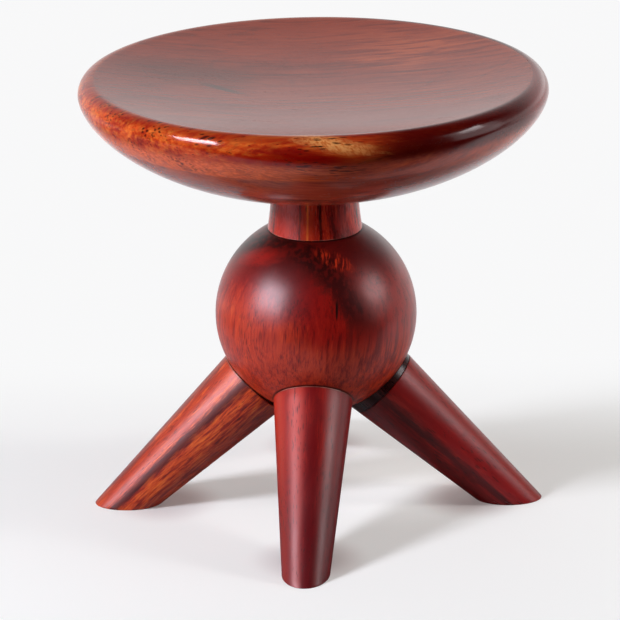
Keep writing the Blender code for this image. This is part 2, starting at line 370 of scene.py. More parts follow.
class SharedEffects:
    """The effects that the timbers share, each built once as a node group.

    A recipe wires one effect up. It takes the wiring of the group and the group's inputs, and
    returns what goes out of the group.
    """

    def __init__(self) -> None:
        """Build every group."""
        self.figure = self._group(
            self._figure, "wood_figure",
            ("Vector", "Band Width", "Streak Width", "Stretch"), ("Bands", "Streaks", "Veins", "Fibres"),
        )
        self.pores = self._group(
            self._pores, "pore_dashes", ("Vector", "Width", "Length", "Fill"), ("Mask",)
        )
        self.film = self._group(
            self._film, "lacquer_film",
            ("Vector", "Gloss", "Unevenness", "Fibres", "Pores"), ("Roughness", "Height"),
        )
        self.flame = self._group(
            self._flame, "flame_figure", ("Vector", "Size", "Stretch"), ("Mottle",)
        )
        self.patch = self._group(self._patch, "ragged_patch", ("Vector", "Ragged", "Core"), ("Mask",))
        # Painted highlight along rounded edges, where they catch the light
        self.edge_highlight = self._group(self._edge_highlight, "painted_edge_highlight", ("Vector", "Distance", "Width"), ("Mask",))

    @staticmethod
    def _group(recipe: Recipe, name: str, inputs: tuple[str, ...], outputs: tuple[str, ...]) -> Tree:
        """Build one effect as a node group with named sockets.

        Args:
            recipe: what wires the effect up.
            name: the name of the group.
            inputs: the names of its inputs. Vector is a vector, the others are numbers.
            outputs: the names of what the recipe returns, all numbers.

        Returns:
            The node group.
        """
        tree = bpy.data.node_groups.new(name, "ShaderNodeTree")
        for way, labels in (("INPUT", inputs), ("OUTPUT", outputs)):
            for label in labels:
                kind = "NodeSocketVector" if label == "Vector" else "NodeSocketFloat"
                tree.interface.new_socket(label, in_out=way, socket_type=kind)
        results = recipe(Wiring(tree), tree.nodes.new("NodeGroupInput").outputs)
        exits = tree.nodes.new("NodeGroupOutput").inputs
        for label, result in zip(outputs, results, strict=True):
            tree.links.new(result, exits[label])
        return tree

    @staticmethod
    def _figure(wires: Wiring, entry: Sockets) -> tuple[Socket, ...]:
        """Growth rings about local Z, with streaks, dark veins and fibres along it.

        Args:
            wires: the wiring of the group.
            entry: the place, the widths and the stretch along the grain.

        Returns:
            The bands, the streaks, the veins and the fibres.
        """
        fibre_share, fibre_stretch = 0.30, 2.2
        x, y, z = wires.axes(entry["Vector"])
        slow = wires.over(z, entry["Stretch"])
        drawn, ringed = wires.joined(x, y, slow), wires.joined(wires.across(x, y), 0.0, slow)
        thin = wires.joined(x, y, wires.over(slow, fibre_stretch))
        band_scale = wires.over(1.0, entry["Band Width"])
        streak_scale = wires.over(1.0, entry["Streak Width"])
        bands = wires.noise(ringed, band_scale, 2.5, 0.55)
        streaks = wires.noise(drawn, streak_scale, 4.0, 0.65)
        fibres = wires.noise(thin, wires.over(streak_scale, fibre_share), 3.0, 0.65)
        contour = wires.math("ABSOLUTE", wires.centred(wires.noise(ringed, streak_scale, 1.0)))
        broken = wires.rise(wires.noise(drawn, band_scale, 1.0), 0.42, 0.62)
        veins = wires.times(wires.rise(contour, 0.035, 0.004), broken)
        return bands, streaks, veins, fibres

    @staticmethod
    def _flame(wires: Wiring, entry: Sockets) -> tuple[Socket, ...]:
        """Flame figure: mottles of a given size, drawn out along local Z.

        Args:
            wires: the wiring of the group.
            entry: the place, the size of a mottle and its stretch.

        Returns:
            The mottles.
        """
        x, y, z = wires.axes(entry["Vector"])
        drawn = wires.joined(x, y, wires.over(z, entry["Stretch"]))
        return (wires.noise(drawn, wires.over(1.0, entry["Size"]), 4.0, 0.64),)

    @staticmethod
    def _pores(wires: Wiring, entry: Sockets) -> tuple[Socket, ...]:
        """Short dark dashes along local Z, in loose clumps.

        Args:
            wires: the wiring of the group.
            entry: the place, the width and length of a dash, and the share that is filled.

        Returns:
            The mask of the dashes.
        """
        clump_scale, clump_low, clump_high, core_share = 0.12, 0.38, 0.68, 0.45
        x, y, z = wires.axes(entry["Vector"])
        width, length = entry["Width"], entry["Length"]
        cells = wires.joined(wires.over(x, width), wires.over(y, width), wires.over(z, length))
        spots = wires.add("ShaderNodeTexVoronoi", {"Vector": cells, "Scale": 1.0, "Randomness": 1.0})
        clumps = wires.rise(wires.noise(cells, clump_scale, 2.0), clump_low, clump_high)
        reach = wires.times(entry["Fill"], clumps)
        return (wires.rise(spots.outputs["Distance"], reach, wires.times(reach, core_share)),)

    @staticmethod
    def _film(wires: Wiring, entry: Sockets) -> tuple[Socket, ...]:
        """Lacquer rubbed by hand: uneven gloss, and the grain that shows through it.

        Args:
            wires: the wiring of the group.
            entry: the place, the gloss, its unevenness, the fibres and the pores.

        Returns:
            The roughness and the height.
        """
        smear_scale, peel_scale, grain_share = 16.0, 210.0, 0.4
        pore_dullness, fibre_relief, pore_relief = 0.22, 0.5, 0.9
        glossiest, dullest = 0.05, 0.8
        smear = wires.centred(wires.noise(entry["Vector"], smear_scale, 3.0, 0.6))
        grain = wires.times(wires.centred(entry["Fibres"]), grain_share)
        swing = wires.times(wires.math("ADD", smear, grain), entry["Unevenness"])
        dull = wires.times(entry["Pores"], pore_dullness)
        rough = wires.math("ADD", entry["Gloss"], wires.math("ADD", swing, dull))
        kept = wires.add("ShaderNodeClamp", {"Value": rough, "Min": glossiest, "Max": dullest})
        peel = wires.noise(entry["Vector"], peel_scale, 1.0)
        raised = wires.scaled(entry["Fibres"], fibre_relief, peel)
        return kept.outputs[0], wires.minus(raised, wires.times(entry["Pores"], pore_relief))

    @staticmethod
    def _patch(wires: Wiring, entry: Sockets) -> tuple[Socket, ...]:
        """A patch of about one unit round its centre, ragged along its edge.

        Args:
            wires: the wiring of the group.
            entry: the place, how ragged the edge is, and the share that is full.

        Returns:
            The mask of the patch.
        """
        tear_scale = 2.4
        tear = wires.centred(wires.noise(entry["Vector"], tear_scale, 3.0, 0.6))
        reach = wires.scaled(tear, entry["Ragged"], wires.measure("LENGTH", entry["Vector"]))
        return (wires.rise(reach, 1.0, entry["Core"]),)

    @staticmethod
    def _edge_highlight(wires: Wiring, entry: Sockets) -> tuple[Socket, ...]:
        """Painted highlight along an edge, where a rounded edge catches the light: strongest on it, broken
        up, gone at a set distance.

        Args:
            wires: the wiring of the group.
            entry: the place, the distance from the edge and the width of the painted highlight.

        Returns:
            The mask of the painted highlight.
        """
        break_scale = 45.0
        near = wires.rise(wires.math("ABSOLUTE", entry["Distance"]), entry["Width"], 0.0)
        broken = wires.rise(wires.noise(entry["Vector"], break_scale, 3.0, 0.6), 0.35, 0.7)
        return (wires.times(near, broken),)


# Finishes


@dataclass(frozen=True)
class Timber:
    """One lacquered hardwood: its tones, its figure, its pores and flecks, and its gloss."""

    name: str
    deep: Colour
    heart: Colour
    bright: Colour
    pore: Colour = (0.016, 0.002, 0.002)
    band_width: float = 0.034
    streak_width: float = 0.0065
    stretch: float = 10.0
    waver: float = 0.016
    low: float = 0.40
    high: float = 0.61
    vein: float = 0.5
    pore_width: float = 0.0013
    pore_length: float = 0.011
    pore_fill: float = 0.26
    pore_strength: float = 0.7
    fleck_width: float = 0.0020
    fleck_length: float = 0.016
    fleck_fill: float = 0.42
    fleck: float = 0.0
    gloss: float = 0.26
    unevenness: float = 0.12
    relief: float = 0.00003
    refraction: float = 1.47


SEAT_TIMBER = Timber(
    "seat_lacquered_hardwood", (0.120, 0.0060, 0.0030), (0.350, 0.0270, 0.0070), (0.560, 0.0720, 0.0150),
    band_width=0.034, streak_width=0.0070, stretch=14.0, waver=0.026, gloss=0.17, unevenness=0.08,
)
NECK_TIMBER = Timber(
    "neck_lacquered_hardwood", (0.090, 0.0030, 0.0025), (0.430, 0.0140, 0.0070), (0.640, 0.0480, 0.0110),
    band_width=0.010, streak_width=0.0040, stretch=8.0, waver=0.008, low=0.42, high=0.59, vein=0.3,
    gloss=0.28, fleck=0.85,
)
BALL_TIMBER = Timber(
    "ball_lacquered_hardwood", (0.220, 0.0080, 0.0035), (0.450, 0.0300, 0.0070), (0.600, 0.0680, 0.0130),
    band_width=0.030, streak_width=0.0050, stretch=11.0, vein=0.2, gloss=0.31, unevenness=0.10, fleck=0.55,
)
STRIPED_TIMBER = Timber(
    "striped_lacquered_hardwood",
    (0.100, 0.0060, 0.0050), (0.420, 0.0320, 0.0070), (0.700, 0.1000, 0.0160),
    band_width=0.016, streak_width=0.0042, stretch=12.0, waver=0.010, low=0.41, high=0.60, vein=0.5,
    gloss=0.36, unevenness=0.22, relief=0.00005, fleck=0.60,
)
CRIMSON_TIMBER = Timber(
    "crimson_lacquered_hardwood",
    (0.100, 0.0015, 0.0020), (0.250, 0.0035, 0.0035), (0.390, 0.0130, 0.0060),
    band_width=0.020, streak_width=0.0055, stretch=11.0, waver=0.010, low=0.37, high=0.65, vein=0.35,
    pore_strength=0.8, gloss=0.38, unevenness=0.26, relief=0.00005, fleck=0.62,
)
COLLAR_TIMBER = Timber(
    "collar_lacquered_blackwood",
    (0.008, 0.0004, 0.0004), (0.034, 0.0014, 0.0012), (0.100, 0.0055, 0.0035),
    band_width=0.012, streak_width=0.003, stretch=6.0, gloss=0.28,
)


@dataclass(frozen=True)
class Tint:
    """A colour that is laid over the wood: how much of it shows, and how it mixes."""

    colour: Colour
    strength: float
    mode: Blend = Blend.COVER


@dataclass(frozen=True)
class Mark:
    """One ragged patch: its middle, its turn, its half lengths, how torn it is, its full share."""

    centre: Triple
    turn: Triple
    size: Triple
    ragged: float
    core: float


@dataclass(frozen=True)
class Stripe:
    """One stripe along a turned piece: where it lies round the axis, in degrees, and its colour."""

    centre: float
    half_width: float
    colour: Colour
    strength: float


@dataclass(frozen=True)
class Flame:
    """Flame figure: a mottle's size, its stretch along the grain, its levels, tones and strength."""

    size: float
    stretch: float
    levels: tuple[float, ...]
    tones: tuple[Colour, ...]
    strength: float


RIM_CLOUD = Flame(
    0.0150, 6.0, (0.34, 0.44, 0.53, 0.64),
    ((0.080, 0.0040, 0.0015), (0.330, 0.0110, 0.0020), (0.640, 0.0750, 0.0080), (0.800, 0.2100, 0.0300)),
    0.62,
)
RIM_FLAME = Flame(
    0.0040, 8.0, (0.32, 0.42, 0.52, 0.66),
    ((0.020, 0.0015, 0.0010), (0.340, 0.0120, 0.0020), (0.680, 0.0850, 0.0085), (0.840, 0.2400, 0.0340)),
    0.36,
)
LEG_FLAME = Flame(
    0.0030, 10.0, (0.31, 0.42, 0.53, 0.68),
    ((0.045, 0.0030, 0.0025), (0.280, 0.0110, 0.0030), (0.620, 0.0700, 0.0080), (0.800, 0.1700, 0.0200)),
    0.80,
)
NECK_STRIPES = (
    Stripe(-46.0, 17.0, (0.660, 0.0320, 0.0130), 0.60),
    Stripe(34.0, 14.0, (0.120, 0.0040, 0.0035), 0.55),
    Stripe(-9.0, 7.0, (0.700, 0.0480, 0.0100), 0.75),
    Stripe(-9.5, 1.3, (0.860, 0.1700, 0.0260), 0.85),
    Stripe(7.0, 1.8, (0.012, 0.0008, 0.0008), 0.80),
    Stripe(-19.5, 1.2, (0.016, 0.0010, 0.0010), 0.75),
    Stripe(-63.0, 1.6, (0.016, 0.0010, 0.0010), 0.75),
    Stripe(140.0, 7.0, (0.014, 0.0010, 0.0010), 0.75),
    Stripe(-125.0, 4.0, (0.014, 0.0010, 0.0010), 0.75),
)
LEG_STRIPES = {
    LegPlace.LEFT: (
        Stripe(52.0, 26.0, (0.170, 0.0100, 0.0050), 0.60),
        # Orange-brown under the key lamp's highlight: wood tone, partly painted highlight
        Stripe(-52.0, 14.0, (0.480, 0.0480, 0.0170), 0.55),
        Stripe(-22.0, 9.0, (0.050, 0.0028, 0.0045), 0.88),
        Stripe(-94.0, 18.0, (0.150, 0.0080, 0.0060), 0.70),
        Stripe(165.0, 14.0, (0.060, 0.0050, 0.0050), 0.70),
    ),
    LegPlace.FRONT: (
        Stripe(-152.0, 20.0, (0.470, 0.0260, 0.0080), 0.75),
        # Brighter under the key lamp's highlight: wood tone, partly painted highlight
        Stripe(-112.0, 12.0, (0.520, 0.0340, 0.0160), 0.65),
        Stripe(-83.0, 12.0, (0.120, 0.0015, 0.0030), 0.60),
        # Greyer brown where the fill lamp reflects: painted reflection
        Stripe(-54.0, 12.0, (0.230, 0.0150, 0.0090), 0.50),
        Stripe(-28.0, 9.0, (0.160, 0.0020, 0.0030), 0.60),
    ),
    LegPlace.RIGHT: (
        Stripe(-116.0, 14.0, (0.420, 0.0200, 0.0070), 0.50),
        Stripe(-155.0, 16.0, (0.290, 0.0020, 0.0030), 0.55),
        Stripe(175.0, 8.0, (0.045, 0.0010, 0.0012), 0.65),
        Stripe(148.0, 14.0, (0.110, 0.0020, 0.0025), 0.60),
    ),
    LegPlace.REAR: (Stripe(-70.0, 18.0, (0.120, 0.0015, 0.0030), 0.60),),
}
# Dark colour of the joint lines: partly glue, partly painted shade in the seam gaps
GLUE_AND_SEAM_SHADE = (0.012, 0.0012, 0.0012)
# Pale pink of the painted highlight along rounded edges
PAINTED_EDGE_HIGHLIGHT = (0.560, 0.2700, 0.2000)


class Dressing:
    """One timber on one piece: grain in the piece's own direction, marks, then lacquer."""

    def __init__(
        self, timber: Timber, effects: SharedEffects, pith: Triple, turn: Triple, name: str = ""
    ) -> None:
        """Lay the grain.

        Args:
            timber: the wood and its lacquer.
            effects: the shared node groups.
            pith: a point on the line that the growth rings run round.
            turn: the turn that takes Z to the direction of the grain.
            name: a name for the material where the timber's own isn't enough.
        """
        self.timber = timber
        self.effects = effects
        self.material = bpy.data.materials.new(name or timber.name)
        self.material.use_nodes = True
        self.wires = Wiring(self.material.node_tree)
        self.here = self.wires.here()
        self.x, self.y, self.z = self.wires.axes(self.here)
        self.grain = self.wires.local(self.here, pith, turn)
        self.swayed = self._sway()
        feeds = {"Band Width": timber.band_width, "Streak Width": timber.streak_width}
        self.figure = self.wires.effect(
            effects.figure, {"Vector": self.swayed, **feeds, "Stretch": timber.stretch}
        )
        self.pores = self.dashes(timber.pore_width, timber.pore_length, timber.pore_fill)
        self.colour = self._tones()

    def _sway(self) -> Socket:
        """Let the grain waver.

        Returns:
            The place along the grain, shifted to and fro.
        """
        wires, sway_scale = self.wires, 5.5
        sway = wires.add("ShaderNodeTexNoise", {"Vector": self.grain, "Scale": sway_scale, "Detail": 1.5})
        centred = wires.vector("SUBTRACT", sway.outputs["Color"], (0.5, 0.5, 0.5))
        shift = wires.add("ShaderNodeVectorMath", {0: centred, "Scale": self.timber.waver}, operation="SCALE")
        return wires.vector("ADD", self.grain, shift.outputs[0])

    def _tones(self) -> Socket:
        """Colour the figure from deep through heart to bright, and draw the veins.

        Returns:
            The colour of the bare wood.
        """
        wires, timber, figure = self.wires, self.timber, self.figure
        band_share, streak_share, fibre_share = 0.30, 0.38, 0.32
        mixed = wires.scaled(figure["Streaks"], streak_share, wires.times(figure["Bands"], band_share))
        mixed = wires.scaled(figure["Fibres"], fibre_share, mixed)
        middle = (timber.low + timber.high) / 2
        lower = wires.blend(wires.rise(mixed, timber.low, middle), timber.deep, timber.heart)
        toned = wires.blend(wires.rise(mixed, middle, timber.high), lower, timber.bright)
        return wires.blend(wires.times(figure["Veins"], timber.vein), toned, timber.deep)

    def dashes(self, width: float, length: float, fill: float) -> Socket:
        """Give the mask of short dashes along the grain."""
        feeds = {"Vector": self.swayed, "Width": width, "Length": length, "Fill": fill}
        return self.wires.effect(self.effects.pores, feeds)["Mask"]

    def mottle(self, vector: Socket, size: float, stretch: float) -> Socket:
        """Give mottles of a given size, drawn out along a vector's Z."""
        feeds = {"Vector": vector, "Size": size, "Stretch": stretch}
        return self.wires.effect(self.effects.flame, feeds)["Mottle"]

    def patch(self, mark: Mark, base: float = 0.0) -> Socket:
        """Give the mask of one patch of the surface.

        Args:
            mark: the patch.
            base: the height that its middle is measured from.

        Returns:
            The mask, 1 inside and 0 outside.
        """
        x, y, height = mark.centre
        unit = self.wires.local(self.here, (x, y, base + height), mark.turn, mark.size)
        feeds = {"Vector": unit, "Ragged": mark.ragged, "Core": mark.core}
        return self.wires.effect(self.effects.patch, feeds)["Mask"]

    def lay(self, tint: Tint, *masks: Socket) -> None:
        """Lay a colour over the wood.

        Args:
            tint: the colour.
            masks: where it goes, which is where all of them are 1.
        """
        factor = self.wires.times(*masks, tint.strength)
        self.colour = self.wires.blend(factor, self.colour, tint.colour, tint.mode)

    def stripes(self, angle: Socket, stripes: tuple[Stripe, ...]) -> None:
        """Lay stripes along the grain, with edges as streaky as the wood.

        Args:
            angle: the angle round the axis, in radians.
            stripes: what to lay, the first at the bottom.
        """
        wires, ragged, fades_out, full = self.wires, 2.6, 1.55, 0.35
        streak_share, fibre_share = 0.6, 0.4
        streaky = wires.times(self.figure["Streaks"], streak_share)
        streaky = wires.scaled(self.figure["Fibres"], fibre_share, streaky)
        torn = wires.times(wires.centred(streaky), ragged)
        for stripe in stripes:
            half = math.radians(stripe.half_width)
            off = wires.math("WRAP", wires.minus(angle, math.radians(stripe.centre)), math.pi, -math.pi)
            away = wires.scaled(wires.math("ABSOLUTE", off), 1.0 / half, torn)
            self.lay(Tint(stripe.colour, stripe.strength), wires.rise(away, fades_out, full))

    def flames(self, mask: Socket, flame: Flame) -> None:
        """Lay flame figure over the wood where a mask says.

        Args:
            mask: where it goes, from 0 to 1.
            flame: its size and tones.
        """
        wires = self.wires
        mottle = self.mottle(self.swayed, flame.size, flame.stretch)
        colour: Feed = flame.tones[0]
        for low, high, tone in zip(flame.levels, flame.levels[1:], flame.tones[1:]):
            colour = wires.blend(wires.rise(mottle, low, high), colour, tone)
        self.colour = wires.blend(wires.times(mask, flame.strength), self.colour, colour)

    def edge_highlight(self, distance: Socket, width: float, strength: float) -> None:
        """Paint a pale highlight along an edge, where a rounded edge catches the light.

        Args:
            distance: how far each point is from the edge.
            width: how far the painted highlight reaches.
            strength: how pale the edge itself becomes.
        """
        feeds = {"Vector": self.here, "Distance": distance, "Width": width}
        self.lay(Tint(PAINTED_EDGE_HIGHLIGHT, strength), self.wires.effect(self.effects.edge_highlight, feeds)["Mask"])

    def lacquer(self) -> bpy.types.Material:
        """Sink the pores, lay the lacquer and close the material.

        Returns:
            The finished material.
        """
        wires, timber = self.wires, self.timber
        flecks = self.dashes(timber.fleck_width, timber.fleck_length, timber.fleck_fill)
        self.lay(Tint(timber.pore, timber.fleck), flecks)
        self.lay(Tint(timber.pore, timber.pore_strength), self.pores)
        feeds = {"Vector": self.grain, "Gloss": timber.gloss, "Unevenness": timber.unevenness}
        film = wires.effect(
            self.effects.film, {**feeds, "Fibres": self.figure["Fibres"], "Pores": self.pores}
        )
        relief = {"Strength": 1.0, "Distance": timber.relief, "Height": film["Height"]}
        tree = self.material.node_tree
        shader = tree.nodes["Principled BSDF"].inputs
        tree.links.new(self.colour, shader["Base Color"])
        tree.links.new(film["Roughness"], shader["Roughness"])
        tree.links.new(wires.add("ShaderNodeBump", relief).outputs[0], shader["Normal"])
        shader["IOR"].default_value = timber.refraction
        return self.material


# Pieces


class StoolPiece(ABC):
    """One piece of the stool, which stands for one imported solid."""

    node: str
    slot: str

    @abstractmethod
    def build(self) -> Solid:
        """Model the piece in its place."""

    @abstractmethod
    def dress(self, effects: SharedEffects) -> Dressing:
        """Choose the piece's timber and lay its marks."""

    def make(self, effects: SharedEffects) -> Solid:
        """Build the piece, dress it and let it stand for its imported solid.

        Args:
            effects: the shared node groups.

        Returns:
            The finished piece.
        """
        piece = self.build()
        smooth_round(piece)
        piece.data.materials.append(self.dress(effects).lacquer())
        hand_over(piece, self.node)
        return piece


@dataclass
class Measures:
    """Heights and radii that the pieces share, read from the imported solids."""

    seat_radius: float
    crest: float
    seat_base: float
    neck_radius: float
    neck_top: float
    neck_base: float
    ball_radius: float
    ball_height: float
    ball_flat: float

    @classmethod
    def from_frame(cls) -> "Measures":
        """Read the sizes from the boxes of the seat, the neck and the ball.

        Returns:
            The measures.
        """
        seat_low, seat_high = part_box("seat")
        neck_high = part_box("neck")[1]
        ball_low, ball_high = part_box("ball")
        return cls(
            seat_radius=seat_high.x,
            crest=seat_high.z,
            seat_base=seat_low.z,
            neck_radius=neck_high.x,
            neck_top=seat_low.z - SEAM_GAP,
            neck_base=ball_high.z + SEAM_GAP,
            ball_radius=ball_high.x,
            ball_height=ball_low.z + ball_high.x,
            ball_flat=ball_high.z,
        )


# Marks of the seat
UNDERSIDE_ORANGE = Tint((0.660, 0.0850, 0.0200), 0.45)
UNDERSIDE_LEFT = Tint((0.800, 0.1250, 0.0280), 0.45)
UNDERSIDE_STREAKS = Tint((0.900, 0.1600, 0.0340), 0.70)
UNDERSIDE_LINES = Tint((0.190, 0.0080, 0.0040), 0.35)
DISH_RED = Tint((0.290, 0.0440, 0.0270), 0.60)
DISH_BROWN = Tint((0.110, 0.0150, 0.0100), 0.65)
DISH_COPPER = Tint((0.660, 0.1300, 0.0400), 0.60)
DISH_BACK = Tint((0.560, 0.1000, 0.0420), 0.26)
DISH_STREAKS = Tint((0.105, 0.0160, 0.0120), 0.30)
DISH_SLATE = Tint((0.040, 0.0280, 0.0260), 0.75)
CREST_RED = Tint((0.260, 0.0100, 0.0030), 0.50)
RIM_RED = Tint((0.290, 0.0040, 0.0010), 0.85)
RIM_DEEP_RED = Tint((0.230, 0.0012, 0.0006), 0.88)
# Dark maroon for the rim's right side: partly the wood, partly painted shade away from the key lamp
RIM_DARK = Tint((0.080, 0.0008, 0.0008), 0.93)
RIM_RIGHT_END = Tint((0.300, 0.0150, 0.0090), 0.70)
PALE_BAND = Tint((0.660, 0.1750, 0.0360), 0.90)
PALE_HATCH = Tint((0.940, 0.4200, 0.1250), 0.75)
RIM_FLECKS = Tint((0.016, 0.0012, 0.0010), 0.85)
BROWN_MARK = Mark((-0.120, 0.050, 0.435), (0.0, 0.0, -0.1), (0.130, 0.075, 0.05), 0.9, 0.1)
COPPER_MARK = Mark((0.110, 0.120, 0.435), (0.0, 0.0, 0.1), (0.110, 0.085, 0.05), 1.2, 0.2)
SLATE_MARK = Mark((-0.088, 0.001, 0.434), (0.0, 0.0, -0.67), (0.042, 0.0075, 0.02), 0.7, 0.1)
RED_MARK = Mark((-0.035, -0.2250, 0.4285), (0.0, 0.0, -0.12), (0.110, 0.03, 0.0085), 1.0, 0.3)
DEEP_RED_MARK = Mark((-0.012, -0.2280, 0.4350), (0.0, 0.12, 0.0), (0.055, 0.03, 0.0080), 1.0, 0.3)
PALE_MARK = Mark((0.016, -0.2275, 0.4440), (0.0, 0.19, 0.08), (0.060, 0.030, 0.0080), 0.9, 0.10)


@dataclass
class Seat(StoolPiece):
    """The thick turned disc: dished top, rolled rim, bowl-shaped underside, blind mortise.

    A span of heights or distances runs from where a colour starts to where it is full.
    """

    sizes: Measures
    rim_width: float = 0.0165
    crest_land: float = 0.002
    girth_drop: float = 0.016
    dish_depth: float = 0.018
    boss_radius: float = 0.060
    fullness: float = 1.63
    mortise_depth: float = 0.041
    segments: int = 256
    pith: Triple = (0.0, 0.07, 0.16)
    grain_turn: Triple = (0.0, math.pi / 2, math.radians(3.0))
    dish_edge: Span = (0.2160, 0.2138)
    underside: Span = (0.4280, 0.4160)
    rim: Span = (0.400, 0.416)
    rim_face: Span = (0.4180, 0.4310)
    rim_edge: Span = (0.4340, 0.4400)
    rim_crest: Span = (0.4430, 0.4465)
    flamed_side: Span = (0.085, 0.005)
    dark_side: Span = (0.035, 0.090)
    right_end: Span = (0.196, 0.222)

    node = "seat"
    slot = "seat_wood"

    def outline(self) -> Outline:
        """Draw half of the seat's section.

        Returns:
            Points from the middle of the dish round the rim to the end of the mortise.
        """
        dish_radius = self.sizes.seat_radius - self.rim_width
        crest_radius = dish_radius + self.crest_land
        roll_width = self.sizes.seat_radius - crest_radius
        girth = self.sizes.crest - self.girth_drop
        fallen = 1.0 - math.sqrt(1.0 - (self.crest_land / roll_width) ** 2)
        edge = self.sizes.crest - self.girth_drop * fallen
        points = [
            (dish_radius * share, edge - self.dish_depth * (1.0 - share**2))
            for share in even_steps(0.0, 1.0, 56)
        ]
        points += [
            (crest_radius + roll_width * math.sin(angle), girth + self.girth_drop * math.cos(angle))
            for angle in even_steps(0.0, math.pi / 2, 24)
        ]
        bowl_width = self.sizes.seat_radius - self.boss_radius
        bowl_depth = girth - self.sizes.seat_base
        power = 2.0 / self.fullness
        for angle in even_steps(0.0, math.pi / 2, 64)[1:]:
            inward = bowl_width * max(math.cos(angle), 0.0) ** power
            points.append((self.boss_radius + inward, girth - bowl_depth * math.sin(angle) ** power))
        mortise_end = self.sizes.seat_base + self.mortise_depth - SEAM_GAP
        return points + blind_mortise(self.sizes.seat_base, mortise_end)

    def build(self) -> Solid:
        """Turn the seat."""
        return turn_on_lathe("dished_seat", self.outline(), self.segments)

    def dress(self, effects: SharedEffects) -> Dressing:
        """Lay the grain from left to right, then the marks of the underside, the dish and the rim.

        Args:
            effects: the shared node groups.

        Returns:
            The dressing, ready for its lacquer.
        """
        dressing = Dressing(SEAT_TIMBER, effects, self.pith, self.grain_turn)
        in_dish = dressing.wires.rise(dressing.wires.across(dressing.x, dressing.y), *self.dish_edge)
        self.dress_underside(dressing)
        self.dress_dish(dressing, in_dish)
        self.dress_rim(dressing, dressing.wires.minus(1.0, in_dish))
        return dressing

    def dress_underside(self, dressing: Dressing) -> None:
        """Lay orange below the girth, brightest on the left.

        Args:
            dressing: the seat's dressing.
        """
        wires, figure = dressing.wires, dressing.figure
        below = wires.rise(dressing.z, *self.underside)
        on_left, towards_left = wires.rise(dressing.x, 0.02, -0.08), wires.rise(dressing.x, 0.06, -0.06)
        dressing.lay(UNDERSIDE_ORANGE, below)
        dressing.lay(UNDERSIDE_LEFT, below, on_left)
        dressing.lay(UNDERSIDE_STREAKS, below, wires.rise(figure["Fibres"], 0.44, 0.60), towards_left)
        dressing.lay(UNDERSIDE_LINES, below, wires.rise(figure["Streaks"], 0.46, 0.36))

    def dress_dish(self, dressing: Dressing, in_dish: Socket) -> None:
        """Lay the dish's red, with brown on the left, copper on the right and a slate streak.

        Args:
            dressing: the seat's dressing.
            in_dish: the mask of the dish.
        """
        wires, streaks = dressing.wires, dressing.figure["Streaks"]
        dressing.lay(DISH_RED, in_dish)
        dressing.lay(DISH_BROWN, dressing.patch(BROWN_MARK), in_dish)
        dressing.lay(DISH_COPPER, dressing.patch(COPPER_MARK), in_dish, wires.rise(streaks, 0.40, 0.62))
        dressing.lay(DISH_BACK, in_dish, wires.rise(dressing.y, 0.04, 0.17))
        dressing.lay(DISH_STREAKS, in_dish, wires.rise(streaks, 0.49, 0.37))
        dressing.lay(DISH_SLATE, dressing.patch(SLATE_MARK))

    def dress_rim(self, dressing: Dressing, outside: Socket) -> None:
        """Lay flame figure and red on the rim's left, dark red on its right that is partly painted shade, a
        pale band between.

        Args:
            dressing: the seat's dressing.
            outside: the mask of all but the dish.
        """
        wires, hatch_turn, hatch_size, hatch_stretch = dressing.wires, (0.0, -0.75, 0.0), 0.0022, 3.0
        on_rim = wires.times(outside, wires.rise(dressing.z, *self.rim))
        on_face = wires.times(outside, wires.rise(dressing.z, *self.rim_face))
        left, front = wires.rise(dressing.x, *self.flamed_side), wires.rise(dressing.y, -0.02, -0.10)
        flamed = wires.times(on_face, left)
        dressing.flames(flamed, RIM_CLOUD)
        dressing.flames(flamed, RIM_FLAME)
        dressing.lay(CREST_RED, flamed, wires.rise(dressing.z, *self.rim_crest))
        dressing.lay(RIM_RED, dressing.patch(RED_MARK))
        dressing.lay(RIM_DEEP_RED, dressing.patch(DEEP_RED_MARK))
        # Right side of the rim: dark maroon wood with painted shade
        dressing.lay(RIM_DARK, on_face, wires.rise(dressing.x, *self.dark_side))
        dressing.lay(RIM_RIGHT_END, on_rim, wires.rise(dressing.x, *self.right_end))
        band = dressing.patch(PALE_MARK)
        slanted = wires.local(dressing.here, ORIGIN, hatch_turn)
        hatch = dressing.mottle(slanted, hatch_size, hatch_stretch)
        dressing.lay(PALE_BAND, band)
        dressing.lay(PALE_HATCH, band, wires.rise(hatch, 0.38, 0.58))
        upper_edge = wires.rise(dressing.z, *self.rim_edge)
        for width, length, fill, where in ((0.0026, 0.013, 0.50, on_rim), (0.0042, 0.016, 0.52, upper_edge)):
            flecks = dressing.dashes(width, length, fill)
            dressing.lay(RIM_FLECKS, flecks, outside, where, front, left)


